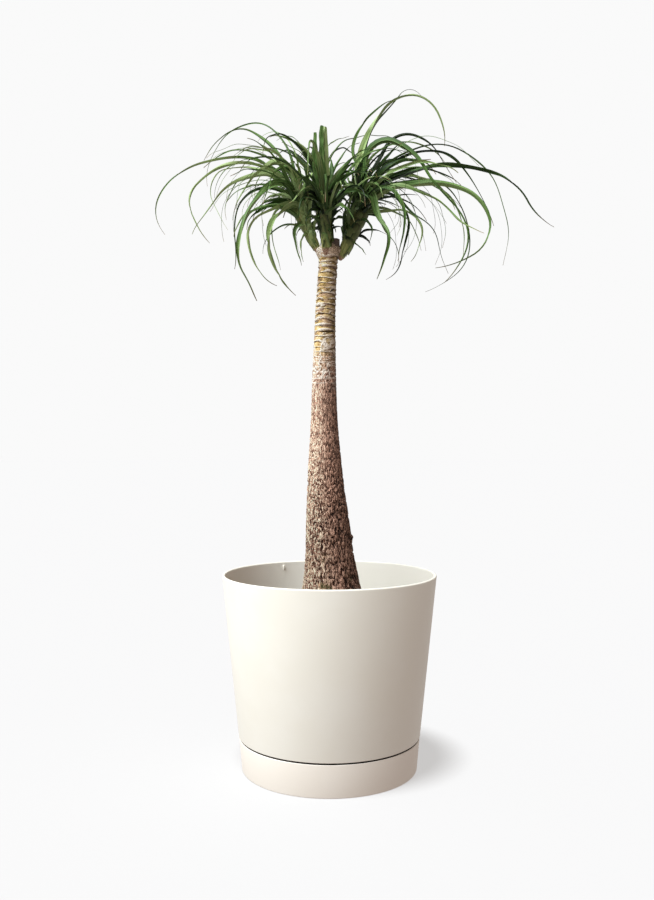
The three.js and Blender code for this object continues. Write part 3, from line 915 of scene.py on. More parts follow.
@dataclass
class Saucer:
    """The moulded saucer."""

    height: float = 44.3
    foot_radius: float = 122.4
    rim_radius: float = 126.4
    wall: float = 3.6
    floor: float = 4
    rounding: float = 1.1
    rim_slope: float = 0.2
    sides: int = 192
    finish: PlasticFinish = PlasticFinish(
        name="saucer_cream",
        colour=(0.9, 0.83, 0.75),
        cloud=(0.92, 0.855, 0.78),
        # painted shade inside the saucer's lip, seen through the seam
        seam_shade_radius=125.5,
        seam_shade_from=40,
        seam_shade_to=46,
    )

    def profile(self) -> list[Pair]:
        """Works out the section of the saucer.

        Returns:
            Its (radius, height) pairs, from the middle of the underside round to the inside.
        """
        inner_foot = self.foot_radius - self.wall
        middle = (self.rim_radius - self.wall / 2, self.height)
        outside = [(0, 0), (self.foot_radius, 0), (self.rim_radius, self.height - self.rim_slope), middle]
        inside = [middle, (self.rim_radius - self.wall, self.height)]
        inside += [(inner_foot, self.floor), (0, self.floor)]
        return softened(outside, self.rounding) + softened(inside, self.rounding)[1:]

    def build(self) -> Body:
        """Builds the saucer and dresses it.

        Returns:
            The saucer.
        """
        draft = Draft()
        turned(draft, self.profile(), self.sides)
        made = draft.make("saucer_moulded", [self.finish.build()])
        seated(made, ["saucer"])
        return made


@dataclass
class Planter:
    """The tapered planter that stands in the saucer on a foot ring."""

    foot: float = 4 + GAP  # height of its underside, on the saucer's floor
    rim_height: float = 270.2
    rim_radius: float = 150
    seam_height: float = 46.4
    seam_radius: float = 126.9
    plinth_radius: float = 120.4
    foot_radius: float = 117
    wall: float = 4
    outer_rounding: float = 0.9
    inner_rounding: float = 1.5
    ledge_drop: float = 2  # how far below the seam the inside starts to widen
    ledge_rise: float = 6  # how far above the seam it has widened
    foot_ring: float = 5
    ring_width: float = 6
    floor: float = 4
    drain_radius: float = 6
    drain_circle: float = 68
    drain_count: int = 4
    drill_reach: float = 20
    drill_sides: int = 48
    notch_width: float = 14
    notch_count: int = 4
    lug_azimuth: float = 119
    lug_width: float = 2.6
    lug_height: float = 6.5
    lug_depth: float = 1.7
    lug_drop: float = 5
    lug_root: float = 1.5  # how deep it is rooted in the wall
    lug_sides: int = 24
    lug_squareness: float = 0.4  # 1 is an oval, and less is squarer
    sides: int = 192
    finish: PlasticFinish = PlasticFinish(
        name="planter_cream",
        colour=(0.895, 0.855, 0.77),
        cloud=(0.915, 0.88, 0.805),
        # painted shade on the plinth and under the shoulder, seen through the seam
        seam_shade_radius=126.3,
        seam_shade_from=30,
        seam_shade_to=46.9,
    )

    def floor_top(self) -> float:
        """Height of the planter's floor inside."""
        return self.foot + self.foot_ring + self.floor

    def inner_radius(self, z: float) -> float:
        """Works out how wide the inside is.

        Args:
            z: the height.

        Returns:
            The radius of the inside there.
        """
        if z > self.seam_height:
            share = (z - self.seam_height) / (self.rim_height - self.seam_height)
            return lerp(self.seam_radius, self.rim_radius, share) - self.wall
        share = (z - self.foot) / (self.seam_height - self.foot)
        return lerp(self.foot_radius, self.plinth_radius, share) - self.wall

    def profile(self) -> list[Pair]:
        """Works out the section of the planter.

        Returns:
            Its (radius, height) pairs, from the middle of the underside round to the inside.
        """
        ring, under = self.foot_radius - self.ring_width, self.foot + self.foot_ring
        widened, ledge = self.seam_height + self.ledge_rise, self.seam_height - self.ledge_drop
        outside = [(0, under), (ring, under), (ring, self.foot), (self.foot_radius, self.foot)]
        outside += [(self.plinth_radius, self.seam_height), (self.seam_radius, self.seam_height)]
        lip = round_lip(self.rim_radius, self.rim_radius - self.wall, self.rim_height)
        inside = [(self.inner_radius(widened), widened), (self.plinth_radius - self.wall, ledge)]
        inside += [(self.inner_radius(self.floor_top()), self.floor_top()), (0, self.floor_top())]
        outer = softened([*outside, lip[0]], self.outer_rounding)
        inner = softened([lip[-1], *inside], self.inner_rounding)
        return outer[:-1] + lip[:-1] + inner

    def lug(self) -> Body:
        """Makes the small moulded lug on the inside of the wall, just under the rim.

        Returns:
            The lug.
        """
        out, over = compass(self.lug_azimuth), compass(self.lug_azimuth + 90)
        middle = self.rim_height - self.lug_drop - self.lug_height / 2
        waves = [f(full_turn(self.lug_sides)) for f in (np.cos, np.sin)]
        wide, tall = (np.sign(wave) * np.abs(wave) ** self.lug_squareness / 2 for wave in waves)
        flat = np.outer(wide * self.lug_width, over) + np.outer(tall * self.lug_height, [0, 0, 1])
        deep, reach = self.lug_depth, self.inner_radius(middle)
        rows = [(self.lug_root, 1.0), (0.8 - deep, 1.0), (0.2 - deep, 0.9), (-deep, 0.7)]  # depth, share
        points = np.vstack([out * (reach + depth) + flat * share for depth, share in rows])
        points[:, 2] += middle
        draft = Draft()
        draft.add(points, [face[::-1] for face in tube_faces(len(rows), self.lug_sides)])
        return draft.make("lug", [self.finish.build()])

    def drain(self, x: float, y: float) -> Body:
        """Makes the cutter of one drain hole.

        Args:
            x: its place to the right.
            y: its place to the back.

        Returns:
            The cutter.
        """
        pin, reach = Draft(), self.drill_reach
        ends = [(0, -reach), (self.drain_radius, -reach), (self.drain_radius, reach), (0, reach)]
        turned(pin, ends, self.drill_sides)
        pin.points[0] += (x, y, 0)
        return pin.make("pin", [])

    def cutters(self) -> list[Body]:
        """Makes what is cut out of the planter's foot.

        Returns:
            The cutters of the water ways and of the drain holes.
        """
        notch = (self.ring_width * 4, self.notch_width, self.foot_ring)
        turns = [i * 360 / self.notch_count for i in range(self.notch_count)]
        made = [block(notch, (self.foot_radius, 0, self.foot), turn) for turn in turns]
        made.append(self.drain(0, 0))
        for i in range(self.drain_count):
            x, y, _ = self.drain_circle * compass(45 + i * 360 / self.drain_count)
            made.append(self.drain(x, y))
        return made

    def build(self) -> Body:
        """Builds the planter and dresses it.

        Returns:
            The planter.
        """
        draft = Draft()
        turned(draft, self.profile(), self.sides)
        body = draft.make("planter_shell", [self.finish.build()])
        combine(body, [self.lug()], Join.ADD)
        combine(body, self.cutters(), Join.CUT)
        body.data.set_sharp_from_angle(angle=math.radians(CREASE))
        seated(body, ["pot"])
        return body


# ---------------- trunk

TRUNK_PROFILE: list[Pair] = [
    (144, 24), (152, 38), (170, 49), (192, 52), (214, 51), (232, 45), (250, 40.2), (289, 33.8),
    (345, 29.2), (413, 23.6), (480, 18.7), (540, 16.6), (631, 14.2), (700, 13.1), (712, 13.6),
    (719, 16), (726, 16.2), (730, 12.5),
]  # height and radius
TRUNK_BOW: list[Pair] = [
    (144, 4), (250, 3), (311, -0.6), (413, -5.8), (514, -7.4), (631, -5.8), (714, -1.5), (730, 0),
]  # height and sideways offset of the centre


@dataclass(frozen=True)
class Swelling:
    """A soft swelling on the stem."""

    azimuth: float
    height: float
    rise: float
    tall: float
    wide: float  # in radians

    def at(self, z: Array, angle: Array) -> Array:
        """How far it stands out at heights and at angles in radians."""
        apart = np.angle(np.exp(1j * (angle - math.radians(self.azimuth))))
        return self.rise * np.exp(-(((z - self.height) / self.tall) ** 2) - (apart / self.wide) ** 2)


KNOB = Swelling(-6.8755, 321, 3.2, 4.0, 0.16)  # low on the bark
SHOOT_RISES: list[Pair] = [(180, 3.0), (270, 1.2), (0, 1.5), (90, 3.0)]  # azimuth and rise
COLLARS = [Swelling(side, 726, rise, 6.0, 0.5) for side, rise in SHOOT_RISES]  # under the shoots


@dataclass
class Trunk:
    """The bare stem: flared foot, corky bark, ringed part, knuckle and cut stub."""

    soil_line: float = 226
    bark_top: float = 545
    scar_top: float = 709
    scar_pitch: float = 7.4
    scar_families: tuple[Pair, ...] = ((3.2, -0.75), (7.0, 0.0))  # sway, and what its patches pass
    net_top: Pair = (590, 608)  # where the network of scars fades out
    low_cork: Pair = (300, 470)  # where the cork turns finer
    deep_cork: Pair = (300, 520)  # where it turns shallower
    fair_cork: Pair = (340, 500)  # where it turns fairer
    old_cork: Pair = (300, 460)  # where it turns younger
    damp_cork: Pair = (250, 330)  # where it turns dry
    dome: float = 5.5  # how far the top of the knuckle rises between the shoots
    painted_light_azimuth: float = 200  # azimuth of the side where light is painted on the bark
    sides: int = 220
    buried_rows: int = 10
    buried_to: float = 212
    bark_rows: tuple[float, float, float] = (212, 535, 2.0)  # from, to and pitch
    ring_rows: Pair = (535.2, 0.95)  # from and pitch
    stump_centre: Triple = (6.5, -1, 730.5)
    stump_radius: float = 8.2
    stump_height: float = 21
    stump_tilt: float = 4
    stump_sides: int = 40
    finish: BarkFinish = BarkFinish()

    def heights(self) -> Array:
        """Works out the heights of the mesh's rows.

        Returns:
            The heights: coarse in the soil, and finest on the ringed part.
        """
        foot, top = TRUNK_PROFILE[0][0], TRUNK_PROFILE[-1][0]
        buried = np.linspace(foot, self.buried_to, self.buried_rows, endpoint=False)
        start, pitch = self.ring_rows
        return np.concatenate([buried, np.arange(*self.bark_rows), np.arange(start, top, pitch), [top]])

    def rings(self, z: Array, skin: Array) -> tuple[Array, Array]:
        """Finds the leaf scars that ring the stem.

        Args:
            z: heights.
            skin: places on the plain stem.

        Returns:
            How pale and raised each place is, from 0 to 1, and how deep in the groove under a scar, where
            shadow is also painted.
        """
        pale, groove_and_painted_shadow = np.zeros(len(z)), np.zeros(len(z))
        lowest = self.bark_top - 20 + 18 * Noise(Pattern.SCAR_START).at(skin / 9)
        ended = smoothstep(z, self.scar_top + 8, self.scar_top + 14)
        shown = smoothstep(z, lowest, lowest + 26) * (1 - ended)
        for family, (sway, present) in enumerate(self.scar_families):
            wander = Noise(Pattern.SCAR_SWAY + family).layered(in_cells(skin, 14, 9.5) + 5 * family)
            turn = (z - self.bark_top + sway * wander) / self.scar_pitch + 0.37 * family
            off = (turn - np.round(turn)) * self.scar_pitch
            wide = 0.54 + 0.36 * Noise(Pattern.SCAR_WIDTH + family).at(in_cells(skin, 6, 4))
            patches = Noise(Pattern.SCAR_PATCHES + family).at(in_cells(skin, 8, 5))
            strength = shown * smoothstep(patches, present, present + 0.45)
            line = 1 - smoothstep(np.abs(off), wide * 0.5, wide + 0.45)
            under = 1 - smoothstep(np.abs(off + 1.75), 0.25, 1.05)
            pale = np.maximum(pale, line * strength)
            groove_and_painted_shadow = np.maximum(groove_and_painted_shadow, under * strength)
        return pale, groove_and_painted_shadow

    def scars(self, z: Array, skin: Array) -> tuple[Array, Array]:
        """Finds the rings of scars, and their network where the bark gives way to them.

        Args:
            z: heights.
            skin: places on the plain stem.

        Returns:
            How pale and raised each place is, from 0 to 1, and how deep in the groove under a scar, where
            shadow is also painted.
        """
        pale, groove_and_painted_shadow = self.rings(z, skin)
        bent = skin + 3.0 * Noise(Pattern.NET_BEND).layered(skin / 7, 2)[:, None]
        net = 1 - smoothstep(np.abs(Noise(Pattern.NET).layered(in_cells(bent, 12, 9.5), 2)), 0.01, 0.11)
        zone = smoothstep(z, self.bark_top - 12, self.bark_top + 8) * (1 - smoothstep(z, *self.net_top))
        pale = np.maximum(pale * (1 - 0.3 * zone), 0.95 * net * zone)
        return pale, groove_and_painted_shadow * (1 - pale)

    def cork(self, z: Array, skin: Array) -> Array:
        """Works out the relief of the corky bark.

        Args:
            z: heights.
            skin: places on the plain stem.

        Returns:
            0 in the fissures and up to 1 on the ridges.
        """
        low = 1 - smoothstep(z, *self.low_cork)
        warp = 3.2 * Noise(Pattern.CORK_WARP).layered(skin / 6, 2)[:, None] * np.array([1, 1, 0])
        wide = (2.0 + 1.1 * low)[:, None] * np.array([1, 1, 3.4])
        coarse = smoothstep(np.abs(Noise(Pattern.CORK_COARSE).at((skin + warp) / wide)), 0.0, 0.34)
        fine = smoothstep(np.abs(Noise(Pattern.CORK_FINE).at((skin - warp) / (0.6 * wide))), 0.0, 0.4)
        lumps = 0.5 + 0.5 * Noise(Pattern.CORK_LUMPS).layered(in_cells(skin, 9, 14))
        return np.clip(0.6 * coarse + 0.34 * fine + 0.3 * lumps - 0.12, 0, 1)

    def stem(self, draft: Draft) -> None:
        """Adds the stem with its relief.

        Args:
            draft: the mesh to add to.
        """
        z, angle = (a.ravel() for a in np.meshgrid(self.heights(), full_turn(self.sides), indexing="ij"))
        radius, bow = read_curve(TRUNK_PROFILE, z), read_curve(TRUNK_BOW, z)
        skin = np.stack([radius * np.cos(angle), radius * np.sin(angle), z], axis=-1)
        edge = z + 12 * Noise(Pattern.BARK_EDGE).layered(skin / 9, 2)
        ringed = smoothstep(edge, self.bark_top + 4, self.bark_top + 58)
        scar, groove_and_painted_shadow = self.scars(z, skin)
        cork = self.cork(z, skin)
        edge = z + 2 * Noise(Pattern.KNUCKLE_EDGE).at(skin / 4)
        knuckle = smoothstep(edge, self.scar_top + 3, self.scar_top + 10)
        band = 0.5 + 0.5 * Noise(Pattern.SKIN_BANDS).layered(in_cells(skin, 5, 2.4))
        # the groove under each scar lowers the band: it deepens the relief and paints shadow into the colour
        # there
        band = np.clip(band - 0.45 * groove_and_painted_shadow, 0, 1)
        shown = smoothstep(z, self.soil_line - 12, self.soil_line + 10)
        coarse = 1.4 + 2.1 * (1 - smoothstep(z, *self.deep_cork))
        rough = coarse * (cork - 0.55) * (1 - ringed * (1 - 0.4 * knuckle))
        ridged = ringed * (0.75 * scar + 0.6 * band - 0.7 * groove_and_painted_shadow - 0.25)
        radius = radius + shown * (rough + ridged) + sum(s.at(z, angle) for s in [KNOB, *COLLARS])
        lift = 0.9 * ringed * np.sin(2 * angle + z * 0.9) * (1 - knuckle)
        points = np.stack([bow + radius * np.cos(angle), radius * np.sin(angle), z + lift], axis=-1)
        values = {
            "relief": np.clip(lerp(cork, band, ringed), 0, 1),
            "ringed": ringed,
            "scar": scar,
            "rust": knuckle * 0.9,
            "fair": smoothstep(z, *self.fair_cork) * (1 - ringed),
            "height": smoothstep(z, *self.old_cork),
            # painted light and shade: 1 on the side towards the lamp and 0 on the far side
            "painted_light_side": 0.5 + 0.5 * np.cos(angle - math.radians(self.painted_light_azimuth)),
            "damp": 1 - smoothstep(z, *self.damp_cork),
        }
        self.close(draft, points, values)

    def close(self, draft: Draft, points: Array, values: dict[str, Array]) -> None:
        """Closes the stem with a domed top and a flat foot, and lays its flat map.

        Args:
            draft: the mesh to add to.
            points: the rows of the stem, from its foot up.
            values: what the finish reads at each of them.
        """
        top = points[-self.sides :]
        middle = top.mean(axis=0)
        domes = [(0.8, 0.5), (0.55, 0.85), (0.25, 1.0)]  # share of the radius and of the rise
        rings = [middle + (top - middle) * share + [0, 0, self.dome * rise] for share, rise in domes]
        points = np.vstack([points, *rings])
        count = len(points) // self.sides
        chart = TubeMap((0, 0), (1, 0.95), (0.02, 0.975), (0.07, 0.975), (0.018, 0.018))
        padded = {k: np.concatenate([v, np.tile(v[-self.sides :], len(domes))]) for k, v in values.items()}
        faces = tube_faces(count, self.sides)
        draft.add(points, faces, chart=chart.corners(count, self.sides), deadwood=0.0, **padded)

    def stump(self, draft: Draft) -> None:
        """Adds the cut stub of the first stem, with its cracked top.

        Args:
            draft: the mesh to add to.
        """
        sides, half, noise = self.stump_sides, self.stump_height / 2, Noise(Pattern.STUMP)
        walls = [(-half, 1.07), (-half * 0.3, 1.03), (half * 0.3, 1.0), (half - 1.4, 0.97)]
        rows = [*walls, (half - 0.3, 0.9), (half - 0.2, 0.72), (half - 1.1, 0.45), (half - 1.6, 0.2)]
        turns = full_turn(sides)
        circle = np.stack([np.cos(turns), np.sin(turns), np.zeros(sides)], -1) * self.stump_radius
        points = []
        for height, share in rows:
            ring = circle * share
            ring *= 1 + 0.05 * noise.layered(ring / 3 + height / 9, 2)[:, None]
            ring[:, 2] += height + 0.5 * noise.at(ring / 2.2 + 4)
            points.append(ring)
        spun = np.vstack(points) @ rotation(math.radians(self.stump_tilt), 0).T + self.stump_centre
        chart = TubeMap((0.2, 0.962), (0.5, 0.98825), (0.6, 0.98), (0.66, 0.98), (0.015, 0.015))
        charted = chart.corners(len(rows), sides)
        # the stump takes a middling share of the painted light
        wood = {"deadwood": 1.0, "relief": 0.5, "painted_light_side": 0.6, "height": 0.5}
        draft.add(spun, tube_faces(len(rows), sides), chart=charted, **wood)

    def build(self) -> None:
        """Builds the trunk and dresses it."""
        draft = Draft()
        self.stem(draft)
        self.stump(draft)
        made = draft.make("trunk_bark", [self.finish.build()], crease=75)
        seated(made, ["trunk"])


# ---------------- soil


@dataclass
class Soil:
    """The potting soil, with crumbs, chips and grit on its uneven top."""

    planter: Planter
    level: float = 214
    relief: float = 2.4
    side_gap: float = GAP + 0.2
    ledge_gap: float = GAP + 0.6
    ledge_rise: float = 6.5  # how far above the seam the soil has widened
    sides: int = 200
    rings: int = 84
    hole_rings: int = 14
    hole_foot: Triple = (4, 0, 143.7)
    crumbs: int = 900
    crumb_reach: Pair = (56, 137)  # nearest and farthest from the axis
    kinds: int = 11  # one crumb in so many is grit, and the next one is a chip
    finish: SoilFinish = SoilFinish()
    grit: GritFinish = GritFinish()

    def surface(self, x: Array, y: Array) -> Array:
        """Height of the uneven soil."""
        swell = np.sin(x * 0.052 + 0.7) * np.cos(y * 0.047 - 0.4)
        return self.level + self.relief * (swell + 0.6 * np.sin(x * 0.13 - y * 0.11 + 1.3))

    def wall(self, z: float) -> float:
        """Radius of the soil at a height."""
        return self.planter.inner_radius(z) - self.side_gap

    def fine(self, places: Array) -> Array:
        """Fine crumbly relief of the top."""
        near = Noise(Pattern.CRUMBS).nearest(places / 3.4)
        return 1.3 * (0.6 - near) + 0.9 * Noise(Pattern.CLODS).layered(places / 9)

    def outline(self) -> list[Pair]:
        """Works out the soil's side.

        Returns:
            The (radius, height) pairs of the side, from near the middle of the floor up.
        """
        bottom = self.planter.floor_top() + GAP
        ledge = self.planter.seam_height - self.planter.ledge_drop
        widened = self.planter.seam_height + self.ledge_rise
        plinth = self.planter.plinth_radius - self.planter.wall - self.ledge_gap
        return [
            (self.wall(bottom) * 0.5, bottom),
            (self.wall(bottom), bottom),
            (plinth, ledge),
            (self.wall(widened), widened),
        ]

    def hole(self, z: float) -> tuple[float, Array]:
        """Works out the trunk's hole at a height.

        Args:
            z: the height.

        Returns:
            The radius and the middle of the hole.
        """
        radius, bow = (read_curve(curve, np.array([z]))[0] for curve in (TRUNK_PROFILE, TRUNK_BOW))
        return radius + GAP, np.array([bow, 0])

    def body(self, draft: Draft) -> None:
        """Adds the closed body, with the trunk's hole in it.

        Args:
            draft: the mesh to add to.
        """
        turns = full_turn(self.sides)
        around = np.stack([np.cos(turns), np.sin(turns)], -1)
        outline = self.outline()
        rings = [np.column_stack([around * r, np.full(self.sides, z)]) for r, z in outline]
        radius, centre = self.hole(self.level)
        edge = self.wall(self.level)
        for share in np.linspace(1, 0, self.rings):
            flat = around * edge * share + (centre + around * radius) * (1 - share)
            places = np.column_stack([flat, np.zeros(self.sides)])
            lift = smoothstep(np.array([share]), 1.0, 0.97)[0]
            height = lerp(self.level, self.surface(flat[:, 0], flat[:, 1]), lift) + lift * self.fine(places)
            rings.append(np.column_stack([flat, height]))
        for z in np.linspace(self.level - 4, TRUNK_PROFILE[0][0], self.hole_rings):
            radius, centre = self.hole(z)
            rings.append(np.column_stack([around * radius + centre, np.full(self.sides, z)]))
        points = np.vstack([*rings, [[0, 0, outline[0][1]], self.hole_foot]])
        foot, last = len(rings) * self.sides, (len(rings) - 1) * self.sides
        faces = grid_faces(len(rings), self.sides).tolist()
        for s in range(self.sides):
            n = (s + 1) % self.sides
            faces += [[foot, n, s], [foot + 1, last + s, last + n]]
        draft.add(points, faces, tone=0.0)

    def lumps(self, draft: Draft) -> None:
        """Adds the loose crumbs, bark chips and grit.

        Args:
            draft: the mesh to add to.
        """
        rng = np.random.default_rng(int(Pattern.LUMPS))
        nearest, farthest = self.crumb_reach
        for i in range(self.crumbs):
            reach = math.sqrt(rng.uniform(nearest**2, farthest**2))
            a = rng.uniform(0, 2 * math.pi)
            x, y = reach * math.cos(a), reach * math.sin(a)
            is_grit, is_chip = i % self.kinds == 0, i % self.kinds == 1
            size = rng.uniform(1.8, 3.6) if is_chip else rng.uniform(0.8, 2.0)
            stretch = np.array([1.0, rng.uniform(0.5, 0.9), 0.3 if is_chip else rng.uniform(0.5, 0.8)])
            shape = BLOCK_CORNERS * stretch * size * rng.uniform(0.55, 1.0, BLOCK_CORNERS.shape)
            turn = rotation(rng.uniform(0, 2 * math.pi))
            spot = np.array([[x, y, 0]])
            z = self.surface(spot[:, 0], spot[:, 1])[0] + self.fine(spot)[0] + 0.3 * size
            tone = rng.uniform(0.5, 1) if is_chip else rng.uniform(0, 0.5)
            draft.add(shape @ turn.T + (x, y, z), BLOCK_FACES, slot=int(is_grit), tone=tone)

    def build(self) -> None:
        """Builds the soil and dresses it."""
        draft = Draft()
        self.body(draft)
        self.lumps(draft)
        made = draft.make("soil_crumbs", [self.finish.build(), self.grit.build()], crease=60)
        seated(made, ["soil"])


# ---------------- heads of leaves


@dataclass(frozen=True)
class Leaf:
    """What one leaf is, before it is followed. Its headings are angles above the level."""

    root: Triple
    azimuth: float
    end_azimuth: float
    width: float
    length: float
    headings: tuple[float, ...]
    number: int
    clipped: bool = False
    thread: bool = False
    slowness: float = 0.85  # power of its taper: the lower, the sooner it narrows


@dataclass(frozen=True)
class Fill:
    """Ranges of the leaves that fill a head up."""

    count: int
    length: Pair
    rise: Pair
    droop: Pair


@dataclass(frozen=True)
class Twist:
    """How leaves kink, roll and lean, in degrees and in waves along a leaf."""

    kinks: Pair = (2.5, 5)
    kink_depth: Pair = (2, 9)
    rolls: Pair = (0.8, 2.0)
    roll_depth: Pair = (45, 150)
    clipped_roll: float = 15
    ripples: float = 3.7
    ripple_depth: float = 10
    lean: Pair = (25, 60)
    leaned_at: float = 0.22  # share of its length where a leaf has leaned over
    to_one_side: float = 0.6  # share of the leaves that lean to the same side


class Number(IntEnum):
    """What the numbers of each kind of leaf start from, after the head's first number."""

    FILLER = 50
    THREAD = 1000
    SKIRT = 2000
    HEART = 3000


class Trait(IntEnum):
    """The stream of each trait that is drawn for every leaf."""

    ROLL_DEPTH = 5
    ROLLS = 6
    ROLL_START = 7
    LEAN = 9
    LEAN_SIDE = 10
    TONE = 11
    DRYNESS = 12
    KINKS = 13
    KINK_START = 14
    KINK_DEPTH = 15
    RIPPLE_START = 16
    SHEATH_FOOT = 17


# How far to the side the points of a blade's rings lie, on its upper and on its lower face.
STRAP_SIDES = ([-1, -0.55, 0, 0.55, 1], [0.55, 0, -0.55])
THREAD_SIDES = ([-1, 0, 1], [0])


class Quarter(Enum):
    """The azimuth that a head faces, one for each quarter round the trunk."""

    LEFT = 180
    RIGHT = 0
    FRONT = 270
    BACK = 90


def arch(rise: float, droop: float, *shares: float) -> tuple[float, ...]:
    """The headings of a leaf from its rise to its droop, with some on the way."""
    return (rise, *(lerp(rise, droop, share) for share in shares), droop)


@dataclass
class Head:
    """One shoot on the knuckle, with its rosette of strap leaves."""

    name: str
    quarter: Quarter
    first_number: int
    foot: Triple
    tip: Triple
    girth: float
    fill: Fill
    rows: list[LeafRow]
    threads: int
    thread_length: Pair
    clipped_rows: int = 0
    cork_top: float = -1  # height on the shoot where the knuckle's cork ends
    steps: int = 48
    sheath: float = 17  # how far below its root a leaf hugs the shoot
    sheath_steps: int = 8
    sheath_share: float = 0.12  # what the sheath adds to the length, as the finish counts it
    sheath_gap: float = 1.1  # between the shoot and the middle of a sheath
    parted: float = 14  # how far beyond its root a leaf has left the shoot
    thickness: float = 0.7
    thread_width: float = 0.5
    fold: float = 0.72  # depth of a blade's channel as a share of half its width
    skirts: int = 18
    hearts: int = 7
    painted_shade_strength: float = 0.5  # painted shade: how much darker the leaves are close to the shoot
    painted_shade_reach: Pair = (7, 52)  # how far from the shoot's middle the painted shade fades out
    painted_shade_rise: Pair = (3, 24)  # how far above its foot the painted shade sets in
    clipped_painted_shade: float = 0.15  # share of the painted shade that the clipped leaves take
    tones: Pair = (-0.1, 0.85)
    youth: float = 0.2  # how much lighter than a drooping leaf an upright one is
    clipped_lightness: float = 0.15
    head_painted_light: float = 0.0  # painted light and shade: how much lighter than the others its leaves are, by where the lamp falls
    turn: float = 137.508  # golden angle between one filling leaf and the next
    root: float = 16  # how far the shoot reaches into the knuckle
    bud: float = 13  # how far it reaches past its tip
    sides: int = 40
    rings: int = 64
    quarter_gap: float = 0.5  # between a leaf's edge and the walls of the head's quarter
    quarter_give: float = 10.0  # how far off a wall starts to push
    twist: Twist = Twist()

    def seat(self, share: float) -> Triple:
        """Place on the shoot, from 0 at its foot to 1 at its tip."""
        return tuple(lerp(a, b, share) for a, b in zip(self.foot, self.tip))

    def grown(
        self, number: int, seat: float, away: float, settled: float, *shape: object, **kind: object
    ) -> Leaf:
        """Places a leaf that a rule grows.

        Args:
            number: its number, for its draws.
            seat: its place on the shoot, from 0 to 1.
            away: how far it turns away from where the head faces.
            settled: the share of that turn that is left at its tip.
            *shape: its width, length and headings.
            **kind: what else the leaf is, by name.

        Returns:
            The leaf.
        """
        facing = self.quarter.value
        return Leaf(self.seat(seat), facing + away, facing + away * settled, *shape, number, **kind)

    def shown_leaves(self) -> list[Leaf]:
        """Lists the leaves whose shape the photograph shows.

        Returns:
            The leaves, the clipped ones first.
        """
        return [
            Leaf(self.seat(seat), azimuth, azimuth, *shape, self.first_number + i, i < self.clipped_rows)
            for i, (azimuth, seat, *shape) in enumerate(self.rows)
        ]

    def filler_leaves(self) -> list[Leaf]:
        """Grows the leaves that fill the head up, evenly turned round the shoot.

        Returns:
            The leaves.
        """
        leaves = []
        for i in range(self.fill.count):
            n = self.first_number + Number.FILLER + i
            away = (i * self.turn + 180) % 360 - 180
            inner = abs(away) / 180
            rise = lerp(draw_in(self.fill.rise, n, 1), 88, inner)
            droop = lerp(draw_in(self.fill.droop, n, 2), 30, inner * inner)
            width = draw_in((11, 17), n, 4) * (1 - 0.35 * inner)
            length = draw_in(self.fill.length, n, 8) * (1 - 0.45 * inner)
            shape = (width, length, arch(rise, droop, 0.25, 0.6))
            leaves.append(self.grown(n, draw_in((0.15, 0.9), n, 3), away, 0.25, *shape, slowness=0.62))
        return leaves

    def heart_leaves(self) -> list[Leaf]:
        """Grows the broad young leaves, which stand up from the tip of the shoot.

        Returns:
            The leaves.
        """
        leaves = []
        for i in range(self.hearts):
            n = self.first_number + Number.HEART + i
            away = lerp(-150, 150, i / (self.hearts - 1))
            rise, droop = draw_in((62, 84), n, 1), draw_in((-75, 15), n, 2)
            width, length = draw_in((11, 16), n, 3), draw_in((75, 140), n, 4)
            shape = (width, length, arch(rise, droop, 0.2, 0.6))
            leaves.append(self.grown(n, draw_in((0.8, 1), n, 5), away, 1, *shape, slowness=0.8))
        return leaves

    def skirt_leaves(self) -> list[Leaf]:
        """Grows the short old leaves, whose broad sheaths cover the lower part of the shoot.

        Returns:
            The leaves.
        """
        leaves = []
        for i in range(self.skirts):
            n = self.first_number + Number.SKIRT + i
            share = i / (self.skirts - 1)
            away = (i * self.turn + 200) % 360 - 180
            rise = lerp(draw_in((48, 80), n, 1), 86, abs(away) / 180)
            droop = draw_in((-110, 10), n, 2)
            width = draw_in((9, 15), n, 3)
            length = draw_in((40, 75), n, 4) * lerp(0.75, 1.5, share)
            shape = (width, length, arch(rise, droop, 0.15, 0.55))
            leaves.append(self.grown(n, lerp(0.1, 0.95, share), away, 0.6, *shape, slowness=0.75))
        return leaves

    def thread_leaves(self) -> list[Leaf]:
        """Grows young and dried leaves as thin as threads, which curl out of the head.

        Returns:
            The leaves.
        """
        leaves = []
        for i in range(self.threads):
            n = self.first_number + Number.THREAD + i
            away, settled = draw_in((-75, 75), n, 1), draw_in((0.4, 1), n, 6)
            rise, over = draw_in((55, 95), n, 2), draw_in((20, 80), n, 3)
            droop, knee = draw_in((-150, -30), n, 4), draw_in((0.2, 0.5), n, 9)
            width, length = draw_in((1.2, 2.8), n, 7), draw_in(self.thread_length, n, 8)
            shape = (width, length, (rise, *arch(over, droop, knee, 0.75)))
            leaves.append(self.grown(n, draw_in((0.5, 1), n, 5), away, settled, *shape, thread=True))
        return leaves

    def keep_in_quarter(self, points: Array, half_widths: Array) -> Array:
        """Moves the middle of a leaf clear of the two walls of the head's quarter.

        Args:
            points: the middle of the leaf at each step.
            half_widths: half the leaf's width there.

        Returns:
            The middle where it stays clear.
        """
        give, moved = self.quarter_give, points.copy()
        least = half_widths + self.quarter_gap
        for side in (-45, 45):
            inward = compass(self.quarter.value + side)[:2]
            apart = moved[:, :2] @ inward
            push = least + give * np.exp(np.minimum(apart - least - give, 0) / give) - apart
            moved[:, :2] += np.where(apart < least + give, push, 0)[:, None] * inward
        return moved

    def widths(self, leaf: Leaf, share: Array) -> Array:
        """Width of a blade along its length: broad at the sheath, then a long taper to a thread."""
        taper = 1 - 0.62 * share if leaf.clipped else 1 - 0.94 * share**leaf.slowness
        return np.maximum(leaf.width * taper, self.thread_width)

